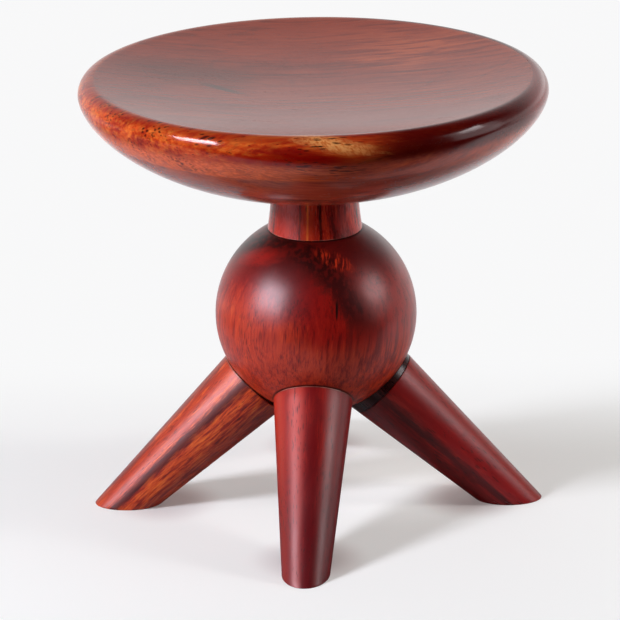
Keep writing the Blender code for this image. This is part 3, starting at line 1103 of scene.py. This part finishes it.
@dataclass
class Neck(StoolPiece):
    """The short spindle between the ball and the seat, with a tenon at each end."""

    sizes: Measures
    top_radius: float = 0.043
    tenon_length: float = 0.040
    segments: int = 128
    pith: Triple = (0.05, 0.06, 0.0)
    highlight_width: float = 0.0016
    highlight_strength: float = 0.80

    node = "neck"
    slot = "neck_wood"

    def outline(self) -> Outline:
        """Draw half of the neck's section.

        Returns:
            Points from the tip of the upper tenon to the tip of the lower one.
        """
        top, base = self.sizes.neck_top, self.sizes.neck_base
        flare = self.sizes.neck_radius - self.top_radius
        tip = TENON_RADIUS - TENON_CHAMFER
        points = [
            (0.0, top + self.tenon_length),
            (tip, top + self.tenon_length),
            (TENON_RADIUS, top + self.tenon_length - TENON_CHAMFER),
            (TENON_RADIUS, top),
            (self.top_radius - BROKEN_EDGE, top),
        ]
        body_top, body_base = top - BROKEN_EDGE, base + BROKEN_EDGE
        points += [
            (self.top_radius + flare * share**2, body_top + (body_base - body_top) * share)
            for share in even_steps(0.0, 1.0, 16)
        ]
        points += [
            (self.sizes.neck_radius - BROKEN_EDGE, base),
            (TENON_RADIUS, base),
            (TENON_RADIUS, base - self.tenon_length + TENON_CHAMFER),
            (tip, base - self.tenon_length),
            (0.0, base - self.tenon_length),
        ]
        return points

    def build(self) -> Solid:
        """Turn the neck."""
        return turn_on_lathe("neck_spindle", self.outline(), self.segments)

    def dress(self, effects: SharedEffects) -> Dressing:
        """Lay upright grain with strong stripes, and a painted highlight along the rounded edge of the base.

        Args:
            effects: the shared node groups.

        Returns:
            The dressing, ready for its lacquer.
        """
        dressing = Dressing(NECK_TIMBER, effects, self.pith, UPRIGHT)
        wires = dressing.wires
        angle = wires.math("ARCTAN2", dressing.x, wires.times(dressing.y, -1.0))
        dressing.stripes(angle, NECK_STRIPES)
        above_base = wires.minus(dressing.z, self.sizes.neck_base)
        # Painted highlight where the neck's rounded base edge catches the light
        dressing.edge_highlight(above_base, self.highlight_width, self.highlight_strength)
        return dressing


@dataclass
class LegLine:
    """The line that a leg and its collar are turned on, measured down from the crossing point."""

    sizes: Measures
    ball_rise: float = 0.0127
    tilt: float = math.radians(46.0)
    top_radius: float = 0.0387
    foot_radius: float = 0.0234
    tenon_length: float = 0.032
    left_heel_gap: float = 0.005
    collar_crown: float = 0.0016
    end_rings: int = 6
    cope_rounds: int = 4
    pith_aside: float = 0.045
    pith_below: float = 0.070
    joint_width: Span = (0.0016, 0.0002)

    def __post_init__(self) -> None:
        """Work out the heights and the distances along the axis."""
        self.crossing = self.sizes.ball_height - self.ball_rise
        self.ball_back = self.ball_rise * math.cos(self.tilt)
        self.ball_aside = self.ball_rise * math.sin(self.tilt)
        self.ball_face = self.ball_reach(0.0, 0.0, 0.0)
        self.shoulder = self.ball_face + self.collar_crown
        self.tenon_end = self.ball_face - self.tenon_length
        self.floor = self.crossing / math.cos(self.tilt)

    def ball_reach(self, x: float, y: float, gap: float = SEAM_GAP) -> float:
        """Find how far along the axis the ball is met, beside the axis by x and y.

        Args:
            x: the distance to the side.
            y: the distance towards the heel, the side that faces under the stool.
            gap: the seam left in front of the ball.

        Returns:
            The distance from the crossing point.
        """
        radius = self.sizes.ball_radius + gap
        return math.sqrt(radius**2 - x**2 - (y + self.ball_aside) ** 2) - self.ball_back

    def square_top(self, place: LegPlace) -> float:
        """Find where a leg is sawn square, before the ball is coped out of it.

        Args:
            place: which leg.

        Returns:
            The distance from the crossing point.
        """
        if place is LegPlace.RIGHT:
            return self.shoulder
        if place is LegPlace.LEFT:
            return self.ball_reach(0.0, self.top_radius, 0.0) + self.left_heel_gap
        return self.ball_face - self.top_radius

    def radius(self, reach: float) -> float:
        """Radius of the tapered leg at a distance along its axis."""
        share = (reach - self.ball_face) / (self.floor - self.ball_face)
        return self.top_radius + (self.foot_radius - self.top_radius) * share

    def flat_end(self, inner: float) -> Outline:
        """Points across the flat end under the ball, from an inner radius to the wall."""
        return [(across, -self.ball_face) for across in even_steps(inner, self.top_radius, self.end_rings)]

    def cope(self, piece: Solid, square_top: float) -> set[int]:
        """Slide the flat end of a piece along its own wall until it meets the ball.

        Args:
            piece: the upright piece, its flat end turned level with the ball's face.
            square_top: the distance that the end doesn't rise above.

        Returns:
            The numbers of the vertices along the end's outer edge.
        """
        rim = set()
        wall = self.radius(self.ball_face)
        for vertex in piece.data.vertices:
            x, y, z = vertex.co
            if abs(z + self.ball_face) > MERGE_DISTANCE:
                continue
            across = math.hypot(x, y)
            reach = max(square_top, self.ball_reach(x, y))
            if across > wall - MERGE_DISTANCE:
                rim.add(vertex.index)
                for _ in range(self.cope_rounds):
                    stretch = self.radius(reach) / across
                    reach = max(square_top, self.ball_reach(x * stretch, y * stretch))
                x, y = x * stretch, y * stretch
            vertex.co = (x, y, -reach)
        return rim

    def turn_of(self, place: LegPlace) -> Triple:
        """The turn that takes Z to the axis of the leg at a place."""
        return (-self.tilt, 0.0, place.turn)

    def pith(self, place: LegPlace) -> Triple:
        """A point beside the crossing point, for the growth rings of a leg to run round."""
        aside = Euler(self.turn_of(place)).to_matrix() @ Vector((self.pith_aside, self.pith_below, 0.0))
        return tuple(Vector((0.0, 0.0, self.crossing)) + aside)

    def measured(self, dressing: Dressing, place: LegPlace) -> tuple[Socket, Socket, Socket]:
        """Give the place on a piece in the leg's own frame, Z up along the axis."""
        centre = (0.0, 0.0, self.crossing)
        return dressing.wires.axes(dressing.wires.local(dressing.here, centre, self.turn_of(place)))

    def joint_line(self, dressing: Dressing, place: LegPlace) -> Socket:
        """Give the mask of the line that a leg's edge leaves on the ball, darkened as glue and painted shade
        of the seam.

        Args:
            dressing: the ball's dressing.
            place: which leg.

        Returns:
            The mask, 1 along the joint.
        """
        wires = dressing.wires
        x, y, z = self.measured(dressing, place)
        slope = (self.radius(0.0) - self.radius(self.floor)) / self.floor
        wall = wires.scaled(z, slope, self.radius(0.0))
        outside = wires.minus(wires.across(x, y), wall)
        return wires.times(wires.rise(outside, *self.joint_width), wires.math("LESS_THAN", z, 0.0))

    def put_in_place(self, piece: Solid, place: LegPlace) -> None:
        """Swing a piece from upright to the leg's own line and keep its place in its mesh.

        Args:
            piece: the piece, turned about Z with the crossing point as its origin.
            place: which leg it belongs to.
        """
        pick_only(piece)
        piece.location = (0.0, 0.0, self.crossing)
        piece.rotation_euler = self.turn_of(place)
        bpy.ops.object.transform_apply(location=True, rotation=True, scale=True)


# Marks of the ball, with heights from its middle
BALL_RED = Tint((0.330, 0.0100, 0.0040), 0.60)
BESIDE_ARC = Tint((0.600, 0.110, 0.300), 0.92, Blend.STAIN)
BEYOND_ARC = Tint((0.410, 0.0190, 0.0085), 0.50)
BALL_CROWN = Tint((0.240, 0.060, 0.240), 0.94, Blend.STAIN)
BALL_HEART = Tint((0.110, 0.035, 0.130), 0.95, Blend.STAIN)
BALL_WINE = Tint((0.480, 0.210, 0.950), 0.80, Blend.STAIN)
BALL_CRIMSON = Tint((0.430, 0.0110, 0.0050), 0.50)
BALL_SHADE = Tint((0.130, 0.0045, 0.0030), 0.48)
ORANGE_DASHES = Tint((0.540, 0.0330, 0.0070), 0.85)
DARK_SLIT = Tint((0.004, 0.0010, 0.0010), 0.95)
# Dark joint lines on the ball: glue and painted shade of the seams
NECK_JOINT = Tint(GLUE_AND_SEAM_SHADE, 0.80)
LEG_JOINT = Tint(GLUE_AND_SEAM_SHADE, 0.75)
WINE_MARK = Mark((-0.034, -0.078, 0.045), UPRIGHT, (0.046, 0.046, 0.046), 0.6, 0.2)
CRIMSON_MARK = Mark((-0.055, -0.042, 0.072), (0.0, -0.3, -0.8), (0.044, 0.026, 0.012), 1.0, 0.1)
DASHES_MARK = Mark((0.019, -0.062, 0.0745), (0.0, 0.45, 0.0), (0.028, 0.022, 0.0085), 0.3, 0.3)
SLIT_MARK = Mark((0.020, -0.092, 0.0325), (-0.33, 0.03, 0.0), (0.0016, 0.01, 0.0125), 0.2, 0.5)


@dataclass
class Ball(StoolPiece):
    """The turned ball: flat under the neck, a mortise for the neck and one for each leg."""

    sizes: Measures
    line: LegLine
    neck_mortise_depth: float = 0.041
    segments: int = 192
    mortise_segments: int = 48
    pith: Triple = (0.03, 0.10, 0.0)
    grain_turn: Triple = (0.0, math.radians(4.0), 0.0)
    orange_side: Triple = (-0.674, -0.692, -0.258)
    arc_tear: float = 0.030
    neck_edge: Span = (0.0486, 0.0472)

    node = "ball"
    slot = "ball_wood"

    def outline(self) -> Outline:
        """Draw half of the ball's section.

        Returns:
            Points from the bottom of the ball to the end of the neck's mortise.
        """
        radius, middle, flat = self.sizes.ball_radius, self.sizes.ball_height, self.sizes.ball_flat
        flat_angle = math.asin((flat - middle) / radius)
        points = [
            (radius * math.cos(angle), middle + radius * math.sin(angle))
            for angle in even_steps(-math.pi / 2, flat_angle, 80)
        ]
        return points + blind_mortise(flat, flat + SEAM_GAP - self.neck_mortise_depth)

    def build(self) -> Solid:
        """Turn the ball and bore its mortises.

        Returns:
            The bored ball.
        """
        piece = turn_on_lathe("hub_ball", self.outline(), self.segments)
        top, end = -self.line.tenon_end + GLUE_POCKET, -self.line.shoulder
        for place in LegPlace:
            bore = turn_on_lathe(
                "mortise_bore", [(0.0, top), *blind_mortise(top, end)], self.mortise_segments
            )
            self.line.put_in_place(bore, place)
            cut_away(piece, bore)
        return piece

    def dress(self, effects: SharedEffects) -> Dressing:
        """Lay upright grain, orange in front and on the left, then the marks, and the joint lines darkened as
        glue and painted shade of the seams.

        Args:
            effects: the shared node groups.

        Returns:
            The dressing, ready for its lacquer.
        """
        dressing = Dressing(BALL_TIMBER, effects, self.pith, self.grain_turn)
        from_middle = dressing.wires.vector("SUBTRACT", dressing.here, (0.0, 0.0, self.sizes.ball_height))
        height = dressing.wires.axes(from_middle)[2]
        upper = dressing.wires.rise(height, -0.034, 0.020)
        self.dress_heart(dressing, from_middle, height, upper)
        self.dress_marks(dressing)
        under_neck = dressing.wires.rise(dressing.wires.across(dressing.x, dressing.y), *self.neck_edge)
        # Dark line under the neck: glue and painted shade of the seam
        dressing.lay(NECK_JOINT, under_neck, upper)
        # Dark line round each leg's joint: glue and painted shade of the seam
        for place in LegPlace:
            dressing.lay(LEG_JOINT, self.line.joint_line(dressing, place))
        return dressing

    def dress_heart(self, dressing: Dressing, from_middle: Socket, height: Socket, upper: Socket) -> None:
        """Stain the dark heart that lies behind a torn arc, and the wood beside the arc.

        Args:
            dressing: the ball's dressing.
            from_middle: the place, measured from the middle of the ball.
            height: the height above the middle.
            upper: the mask of the ball's upper part.
        """
        wires, streaks, base = dressing.wires, dressing.figure["Streaks"], self.sizes.ball_height
        facing = wires.measure("DOT_PRODUCT", from_middle, self.orange_side)
        edge = wires.math("ADD", facing, wires.times(wires.centred(streaks), self.arc_tear))
        beyond = wires.rise(edge, 0.0470, 0.0350)
        dressing.lay(BALL_RED, wires.rise(height, 0.005, 0.055))
        dressing.lay(BESIDE_ARC, wires.rise(edge, 0.082, 0.068), wires.rise(height, -0.022, 0.008))
        dressing.lay(BEYOND_ARC, beyond, upper)
        dressing.lay(BALL_CROWN, wires.rise(height, 0.042, 0.078))
        dressing.lay(BALL_HEART, beyond, wires.rise(edge, 0.000, 0.026), wires.rise(height, -0.010, 0.032))
        dressing.lay(BALL_WINE, dressing.patch(WINE_MARK, base))
        dressing.lay(BALL_CRIMSON, dressing.patch(CRIMSON_MARK, base))
        dressing.lay(BALL_SHADE, beyond, wires.rise(streaks, 0.54, 0.42))

    def dress_marks(self, dressing: Dressing) -> None:
        """Lay the row of short orange dashes under the neck, and the dark slit below it.

        Args:
            dressing: the ball's dressing.
        """
        wires, base = dressing.wires, self.sizes.ball_height
        dash_turn, dash_size, dash_stretch = (-0.85, 0.0, 0.0), 0.0020, 7.0
        upward = wires.local(dressing.here, (0.0, 0.0, base), dash_turn)
        dashes = wires.rise(dressing.mottle(upward, dash_size, dash_stretch), 0.49, 0.58)
        dressing.lay(ORANGE_DASHES, dashes, dressing.patch(DASHES_MARK, base))
        dressing.lay(DARK_SLIT, dressing.patch(SLIT_MARK, base))


# Marks of the legs
FOOT_SHADE = Tint((0.075, 0.0040, 0.0070), 0.55)
# Dark line at each leg's top: glue and painted shade of the seam
TOP_JOINT = Tint(GLUE_AND_SEAM_SHADE, 0.50)


@dataclass
class Leg(StoolPiece):
    """A tapered leg: tenon into the ball, top coped to the ball or square, level foot."""

    line: LegLine
    place: LegPlace
    timber: Timber
    top_round: float = 0.0012
    foot_round: float = 0.0012
    wall_start: float = 0.007
    segments: int = 128
    rings: int = 30
    flame_middle: float = 0.20
    flame_width: Span = (0.75, 0.35)
    foot_shade: Span = (0.135, 0.030)
    joint_width: Span = (0.0030, 0.0010)
    highlight_start: float = 0.0010
    highlight_width: float = 0.0012
    highlight_strength: float = 0.60

    slot = "leg_wood"

    @property
    def node(self) -> str:
        """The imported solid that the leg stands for."""
        return f"leg_{self.place.word}"

    def outline(self) -> Outline:
        """Draw half of the leg's section, before it is coped and sawn.

        Returns:
            Points from the tip of the tenon past the floor, with a flat end under the ball.
        """
        line = self.line
        past_floor = line.floor + line.foot_radius * (1.0 + 2.0 * math.tan(line.tilt))
        tip = TENON_RADIUS - TENON_CHAMFER
        points = [
            (0.0, -line.tenon_end),
            (tip, -line.tenon_end),
            (TENON_RADIUS, -line.tenon_end - TENON_CHAMFER),
            *line.flat_end(TENON_RADIUS),
        ]
        walls = even_steps(line.shoulder + self.wall_start, past_floor, self.rings)
        points += [(line.radius(reach), -reach) for reach in walls]
        points.append((0.0, -past_floor))
        return points

    def build(self) -> Solid:
        """Turn the leg, cope its top, saw its foot level with the floor and swing it into place.

        Returns:
            The leg in its place.
        """
        piece = turn_on_lathe(f"{self.place.word}_leg", self.outline(), self.segments)
        line = self.line
        rim = line.cope(piece, line.square_top(self.place))
        round_ring(piece, rim, BROKEN_EDGE if self.place is LegPlace.RIGHT else self.top_round)
        with editing(piece):
            bpy.ops.mesh.bisect(
                plane_co=(0.0, 0.0, -line.floor),
                plane_no=(0.0, -math.sin(line.tilt), math.cos(line.tilt)),
                use_fill=True,
                clear_inner=True,
            )
            bpy.ops.mesh.bevel(offset=self.foot_round, segments=ROUNDING_STEPS, affect="EDGES")
            close_and_turn_out()
        line.put_in_place(piece, self.place)
        return piece

    def dress(self, effects: SharedEffects) -> Dressing:
        """Lay grain and stripes along the leg, and at its top a dark joint line that is partly painted shade,
        beside a painted highlight.

        Args:
            effects: the shared node groups.

        Returns:
            The dressing, ready for its lacquer.
        """
        line, sizes = self.line, self.line.sizes
        name = f"{self.place.word}_leg_{self.timber.name}"
        dressing = Dressing(self.timber, effects, line.pith(self.place), line.turn_of(self.place), name)
        wires = dressing.wires
        x, y, _ = line.measured(dressing, self.place)
        angle = wires.math("ARCTAN2", y, x)
        if self.place is LegPlace.LEFT:
            beside = wires.math("ABSOLUTE", wires.minus(angle, self.flame_middle))
            dressing.flames(wires.rise(beside, *self.flame_width), LEG_FLAME)
        dressing.stripes(angle, LEG_STRIPES[self.place])
        if self.place is LegPlace.FRONT:
            dressing.lay(FOOT_SHADE, wires.rise(dressing.z, *self.foot_shade))
        from_middle = wires.away(dressing.here, (0.0, 0.0, sizes.ball_height))
        from_ball = wires.minus(from_middle, sizes.ball_radius)
        # Dark line at the leg's top: glue and painted shade of the seam
        dressing.lay(TOP_JOINT, wires.rise(from_ball, *self.joint_width))
        # Painted highlight along the leg's rounded top edge
        dressing.edge_highlight(wires.minus(from_ball, self.highlight_start), self.highlight_width, self.highlight_strength)
        return dressing


@dataclass
class Collar(StoolPiece):
    """A dark wedge ring, flush with the leg, flat on its shoulder and coped to the ball."""

    line: LegLine
    place: LegPlace
    lip_round: float = 0.0004
    segments: int = 128

    slot = "collar_wood"

    @property
    def node(self) -> str:
        """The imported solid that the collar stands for."""
        return f"collar_{self.place.word}"

    def outline(self) -> Outline:
        """Draw the section of the ring, before it is coped.

        Returns:
            Points once round the section.
        """
        bore = TENON_RADIUS + SEAM_GAP
        lip, base = self.line.ball_face, self.line.shoulder - SEAM_GAP
        wall = self.line.radius(base)
        foot = [(wall, BROKEN_EDGE - base), (wall - BROKEN_EDGE, -base), (bore, -base), (bore, -lip)]
        return self.line.flat_end(bore) + foot

    def build(self) -> Solid:
        """Turn the ring, hollow it to the ball and swing it into place.

        Returns:
            The collar in its place.
        """
        piece = turn_on_lathe(f"{self.place.word}_collar", self.outline(), self.segments)
        round_ring(piece, self.line.cope(piece, 0.0), self.lip_round)
        with editing(piece):
            close_and_turn_out()
        self.line.put_in_place(piece, self.place)
        return piece

    def dress(self, effects: SharedEffects) -> Dressing:
        """Lay near-black wood, its grain along the leg."""
        line, place = self.line, self.place
        return Dressing(COLLAR_TIMBER, effects, line.pith(place), line.turn_of(place))


# Studio


class Reach(Enum):
    """Which pieces a lamp lights."""

    ALL = "all"
    SEAT = "seat"
    REST = "rest"


class Use(Enum):
    """What a lamp is for: to light the wood, or to show as a highlight in the lacquer."""

    LIGHT = "light"
    HIGHLIGHT = "highlight"


@dataclass(frozen=True)
class Softbox:
    """One lamp: the way from its aim to it, its distance, sides, radiance and colour.

    Softboxes light the wood and cast the shadows, cards and scrims show only as highlights.
    The seat has small cards of its own, close to its rim and facing mostly down, because the
    large ones would hide its dish in glare from behind.
    """

    name: str
    towards: Triple
    distance: float
    width: float
    height: float
    radiance: float
    colour: Colour
    use: Use
    reach: Reach = Reach.ALL
    aim: Triple = (0.0, 0.0, 0.25)
    spread: float = math.pi

    def on_axis_gain(self) -> float:
        """Find how much brighter the lamp is straight ahead for a spread below the full one.

        Returns:
            The gain, 1 at the full spread.
        """
        if self.spread >= math.pi:
            return 1.0
        half = self.spread / 2
        return math.tan(half) / (math.tan(half) - half)

    def hang(self, seat: Solid) -> None:
        """Put the lamp up, facing its aim.

        Args:
            seat: the piece that the lamp may be kept to, or kept from.
        """
        lamp = bpy.data.lights.new(self.name, "AREA")
        lamp.color = self.colour
        lamp.shape = "RECTANGLE"
        lamp.size = self.width
        lamp.size_y = self.height
        lamp.spread = self.spread
        lamp.energy = self.radiance * math.pi * self.width * self.height / self.on_axis_gain()
        holder = bpy.data.objects.new(self.name, lamp)
        away = Vector(self.towards).normalized()
        holder.location = Vector(self.aim) + away * self.distance
        holder.rotation_mode = "QUATERNION"
        holder.rotation_quaternion = (-away).to_track_quat("-Z", "Y")
        holder.visible_camera = False
        holder.visible_diffuse = self.use is Use.LIGHT
        holder.visible_glossy = self.use is Use.HIGHLIGHT
        if self.reach is not Reach.ALL:
            lit = bpy.data.collections.new(f"{self.name}_on_{self.reach.value}")
            lit.objects.link(seat)
            holder.light_linking.receiver_collection = lit
            if self.reach is Reach.REST:
                lit.collection_objects[0].light_linking.link_state = "EXCLUDE"
        bpy.context.scene.collection.objects.link(holder)


COOL = (0.95, 0.97, 1.10)
NEUTRAL = (1.0, 0.99, 1.01)
KEY_WAY = (-0.785, -0.453, 0.423)
FILL_WAY = (0.903, -0.159, 0.399)
KEY_LAMPS = (
    Softbox("key_softbox", (-0.757, -0.420, 0.500), 3.00, 0.62, 0.55, 85.0, COOL, Use.LIGHT),
    Softbox("key_card", KEY_WAY, 3.00, 1.60, 1.40, 9.8, COOL, Use.HIGHLIGHT, Reach.REST),
    Softbox("key_inner_scrim", KEY_WAY, 3.03, 1.90, 1.90, 2.4, COOL, Use.HIGHLIGHT, Reach.REST),
    Softbox(
        "key_outer_scrim", (-0.849, -0.451, 0.276), 3.06, 2.50, 2.00, 1.3, COOL, Use.HIGHLIGHT, Reach.REST
    ),
    Softbox("key_bounce", (-0.900, -0.363, 0.242), 3.10, 3.60, 2.40, 0.5, COOL, Use.HIGHLIGHT, Reach.REST),
    Softbox(
        "key_on_rim", (-0.124, -0.227, 0.966), 0.060, 0.067, 0.026, 55.0, COOL, Use.HIGHLIGHT, Reach.SEAT,
        aim=(-0.1480, -0.2077, 0.4130), spread=math.radians(120.0),
    ),
)
FILL_LAMPS = (
    Softbox("fill_softbox", FILL_WAY, 1.40, 0.25, 0.25, 28.0, NEUTRAL, Use.LIGHT),
    Softbox("fill_card", FILL_WAY, 1.40, 0.48, 0.42, 8.2, NEUTRAL, Use.HIGHLIGHT, Reach.REST),
    Softbox(
        "fill_on_rim", (0.641, -0.052, 0.766), 0.060, 0.036, 0.024, 13.0, NEUTRAL, Use.HIGHLIGHT, Reach.SEAT,
        aim=(0.163, -0.178, 0.419), spread=math.radians(72.0),
    ),
    Softbox("fill_scrim", (0.945, -0.180, 0.280), 1.40, 0.70, 0.90, 1.2, NEUTRAL, Use.HIGHLIGHT),
    Softbox("fill_bounce", (0.960, -0.040, 0.280), 1.64, 0.90, 0.90, 1.6, NEUTRAL, Use.LIGHT),
)


@dataclass
class Studio:
    """A white floor before a white sheet in a dark room, softboxes on both sides, the camera."""

    image_side: float = 620.0
    focal_pixels: float = 3621.5
    sensor: float = 36.0
    distance: float = 3.62299
    elevation: float = math.radians(19.2244)
    roll: float = math.radians(-0.7838)
    aim: Triple = (-0.00605, 0.0, 0.20449)
    floor_side: float = 24.0
    floor_grey: Colour = (0.62, 0.625, 0.595)
    floor_white: Colour = (0.94, 0.94, 0.945)
    room_white: Colour = (0.95, 0.95, 0.955)
    room_dark: float = 0.010
    ambient: float = 0.37
    # How far inwards under each leg the painted contact shadow lies
    contact_shadow_spread: float = 0.155
    # Middle of the painted pool of light in the gap between the legs
    light_gap: Triple = (0.080, 0.045, 0.0)

    def set_up(self, seat: Solid) -> None:
        """Build the floor, the surround, the lamps and the camera.

        Args:
            seat: the piece that some lamps are kept to, or kept from.
        """
        self.lay_floor()
        self.paint_surround()
        for softbox in KEY_LAMPS + FILL_LAMPS:
            softbox.hang(seat)
        self.place_camera()

    def lay_floor(self) -> None:
        """Lay a pale floor that keeps the shadow, white to the camera further out."""
        bpy.ops.object.select_all(action="DESELECT")
        bpy.ops.mesh.primitive_plane_add(size=self.floor_side)
        floor = bpy.context.object
        floor.name = "studio_floor"
        floor.data.materials.append(self.floor_paint())

    def floor_paint(self) -> bpy.types.Material:
        """Mix the floor's paint, which differs for the camera, the lacquer and bounced light.

        To the lacquer and to bounced light the floor ends a little way in front of the stool,
        as the sheet does in a studio. To the lacquer it also carries painted shade: a painted
        shadow under the stool and painted falloff of light on the far left; it is also darker on the right in
        front.

        Returns:
            The material of the floor.
        """
        material = bpy.data.materials.new("studio_floor_paint")
        material.use_nodes = True
        tree = material.node_tree
        tree.nodes.remove(tree.nodes["Principled BSDF"])
        wires = Wiring(tree)
        here = wires.here()
        x, y, _ = wires.axes(here)
        away = wires.measure("LENGTH", here)
        path = wires.add("ShaderNodeLightPath", {}).outputs
        camera, glossy = path["Is Camera Ray"], path["Is Glossy Ray"]
        sheet = wires.rise(wires.scaled(x, -0.35, y), -0.54, -0.38)
        front_right = wires.times(wires.rise(y, -0.08, -0.22), wires.rise(x, -0.05, 0.08))
        open_floor = wires.scaled(front_right, -0.85, 1.0)
        # Painted shade seen only in the lacquer: darker far left, darker under the stool
        shaded_left = wires.scaled(wires.rise(x, -0.40, -0.75), -0.40, 0.64)
        painted_stool_shadow = wires.scaled(wires.rise(away, 0.08, 0.38), 0.6, 0.4)
        mirrored = wires.times(sheet, shaded_left, painted_stool_shadow, open_floor)
        bounced = wires.blend(sheet, (0.05, 0.05, 0.05), (0.85, 0.85, 0.85))
        seen = wires.blend(glossy, bounced, wires.joined(mirrored, mirrored, mirrored))
        paint = wires.add("ShaderNodeBsdfDiffuse", {"Color": wires.blend(camera, seen, self.floor_grey)})
        on_right = wires.times(wires.rise(away, 0.22, 0.70), wires.rise(x, 0.0, 0.20), 0.48)
        pale = wires.math("MAXIMUM", on_right, wires.times(wires.rise(y, 0.35, 1.0), 0.75))
        mirror_lift = wires.times(glossy, sheet, pale, open_floor)
        # Camera lift, with painted contact shadow at the feet and painted light in the gap
        ambient, warmth = self.lift_with_painted_shade(wires, here)
        strength = wires.scaled(camera, ambient, mirror_lift)
        lift = wires.add("ShaderNodeEmission", {"Color": warmth, "Strength": strength})
        near = wires.add("ShaderNodeAddShader", {0: paint.outputs[0], 1: lift.outputs[0]})
        glow = wires.add("ShaderNodeEmission", {"Color": opaque(self.floor_white), "Strength": 1.0})
        far = wires.math("MAXIMUM", wires.rise(away, 0.28, 0.90), wires.rise(y, 0.09, 0.41))
        share = wires.times(camera, far)
        mixed = wires.add("ShaderNodeMixShader", {0: share, 1: near.outputs[0], 2: glow.outputs[0]})
        tree.links.new(mixed.outputs[0], tree.nodes["Material Output"].inputs["Surface"])
        return material

    def lift_with_painted_shade(self, wires: Wiring, here: Socket) -> tuple[Socket, Socket]:
        """Give the camera's lift of the floor with painted light and shade: less and redder at the feet as
        painted contact shadow and red bounce, more in the gap as painted light.

        Args:
            wires: the wiring of the floor's paint.
            here: the place on the floor.

        Returns:
            The strength of the light and its colour.
        """
        # Painted contact shadow: less lift, and pinker, under each leaning leg
        painted_contact_shadow: Feed = 0.0
        for place in LegPlace:
            under_leg = Vector((math.sin(place.turn), -math.cos(place.turn), 0.0)) * self.contact_shadow_spread
            beside = wires.rise(wires.away(here, tuple(under_leg)), 0.065, 0.015)
            painted_contact_shadow = wires.math("MAXIMUM", painted_contact_shadow, beside)
        ambient = wires.scaled(painted_contact_shadow, -0.22, self.ambient)
        painted_gap_light = wires.rise(wires.away(here, self.light_gap), 0.14, 0.02)
        warmth = wires.blend(painted_contact_shadow, (1.0, 0.985, 0.970), (1.0, 0.84, 0.83))
        return wires.scaled(painted_gap_light, 0.13, ambient), warmth

    def paint_surround(self) -> None:
        """Paint a dark room with a white sheet behind the stool, and white to the camera."""
        world = bpy.data.worlds.new("studio_surround")
        bpy.context.scene.world = world
        world.use_nodes = True
        tree = world.node_tree
        wires = Wiring(tree)
        x, y, z = wires.axes(wires.here("Generated"))
        ahead = wires.over(y, wires.across(x, y))
        sheet = wires.times(wires.rise(ahead, 0.45, 0.88), wires.rise(z, 0.86, 0.32))
        sides = wires.times(wires.rise(ahead, -0.15, 0.45), wires.rise(z, 0.62, 0.20))
        upper_left = wires.rise(x, 0.3, -0.6)
        horizon = wires.times(wires.rise(z, 0.24, 0.06), wires.rise(ahead, -0.10, 0.25))
        horizon = wires.times(horizon, wires.rise(x, 0.0, 0.35))
        light: Feed = self.room_dark
        for zone, strength in ((sheet, 0.56), (horizon, 0.60), (sides, 0.25), (upper_left, 0.06)):
            light = wires.scaled(zone, strength, light)
        camera_ray = wires.add("ShaderNodeLightPath", {}).outputs["Is Camera Ray"]
        shown = wires.blend(camera_ray, wires.joined(light, light, light), self.room_white)
        tree.links.new(shown, tree.nodes["Background"].inputs["Color"])

    def place_camera(self) -> None:
        """Stand the camera where the photograph was taken from."""
        back = Vector((0.0, -math.cos(self.elevation), math.sin(self.elevation)))
        level_up = Vector((0.0, math.sin(self.elevation), math.cos(self.elevation)))
        level_right = Vector((1.0, 0.0, 0.0))
        right = level_right * math.cos(self.roll) + level_up * math.sin(self.roll)
        up = level_up * math.cos(self.roll) - level_right * math.sin(self.roll)
        camera = bpy.data.cameras.new("camera")
        camera.sensor_width = self.sensor
        camera.lens = self.focal_pixels * self.sensor / self.image_side
        holder = bpy.data.objects.new("camera", camera)
        place = Matrix((right, up, back)).transposed().to_4x4()
        place.translation = Vector(self.aim) + back * self.distance
        holder.matrix_world = place
        bpy.context.scene.collection.objects.link(holder)
        bpy.context.scene.camera = holder


def main() -> None:
    """Build and dress every piece, then set up the studio."""
    logging.basicConfig(level=logging.INFO, format="%(name)s: %(message)s")
    bpy.context.scene.view_settings.view_transform = "Standard"
    effects = SharedEffects()
    sizes = Measures.from_frame()
    line = LegLine(sizes)
    makers = [Seat(sizes), Neck(sizes), Ball(sizes, line)]
    for place in LegPlace:
        makers.append(Leg(line, place, STRIPED_TIMBER if place is LegPlace.LEFT else CRIMSON_TIMBER))
    makers.append(Collar(line, LegPlace.RIGHT))
    pieces = {maker.node: maker.make(effects) for maker in makers}
    Studio().set_up(pieces["seat"])


if __name__ == "__main__":
    main()
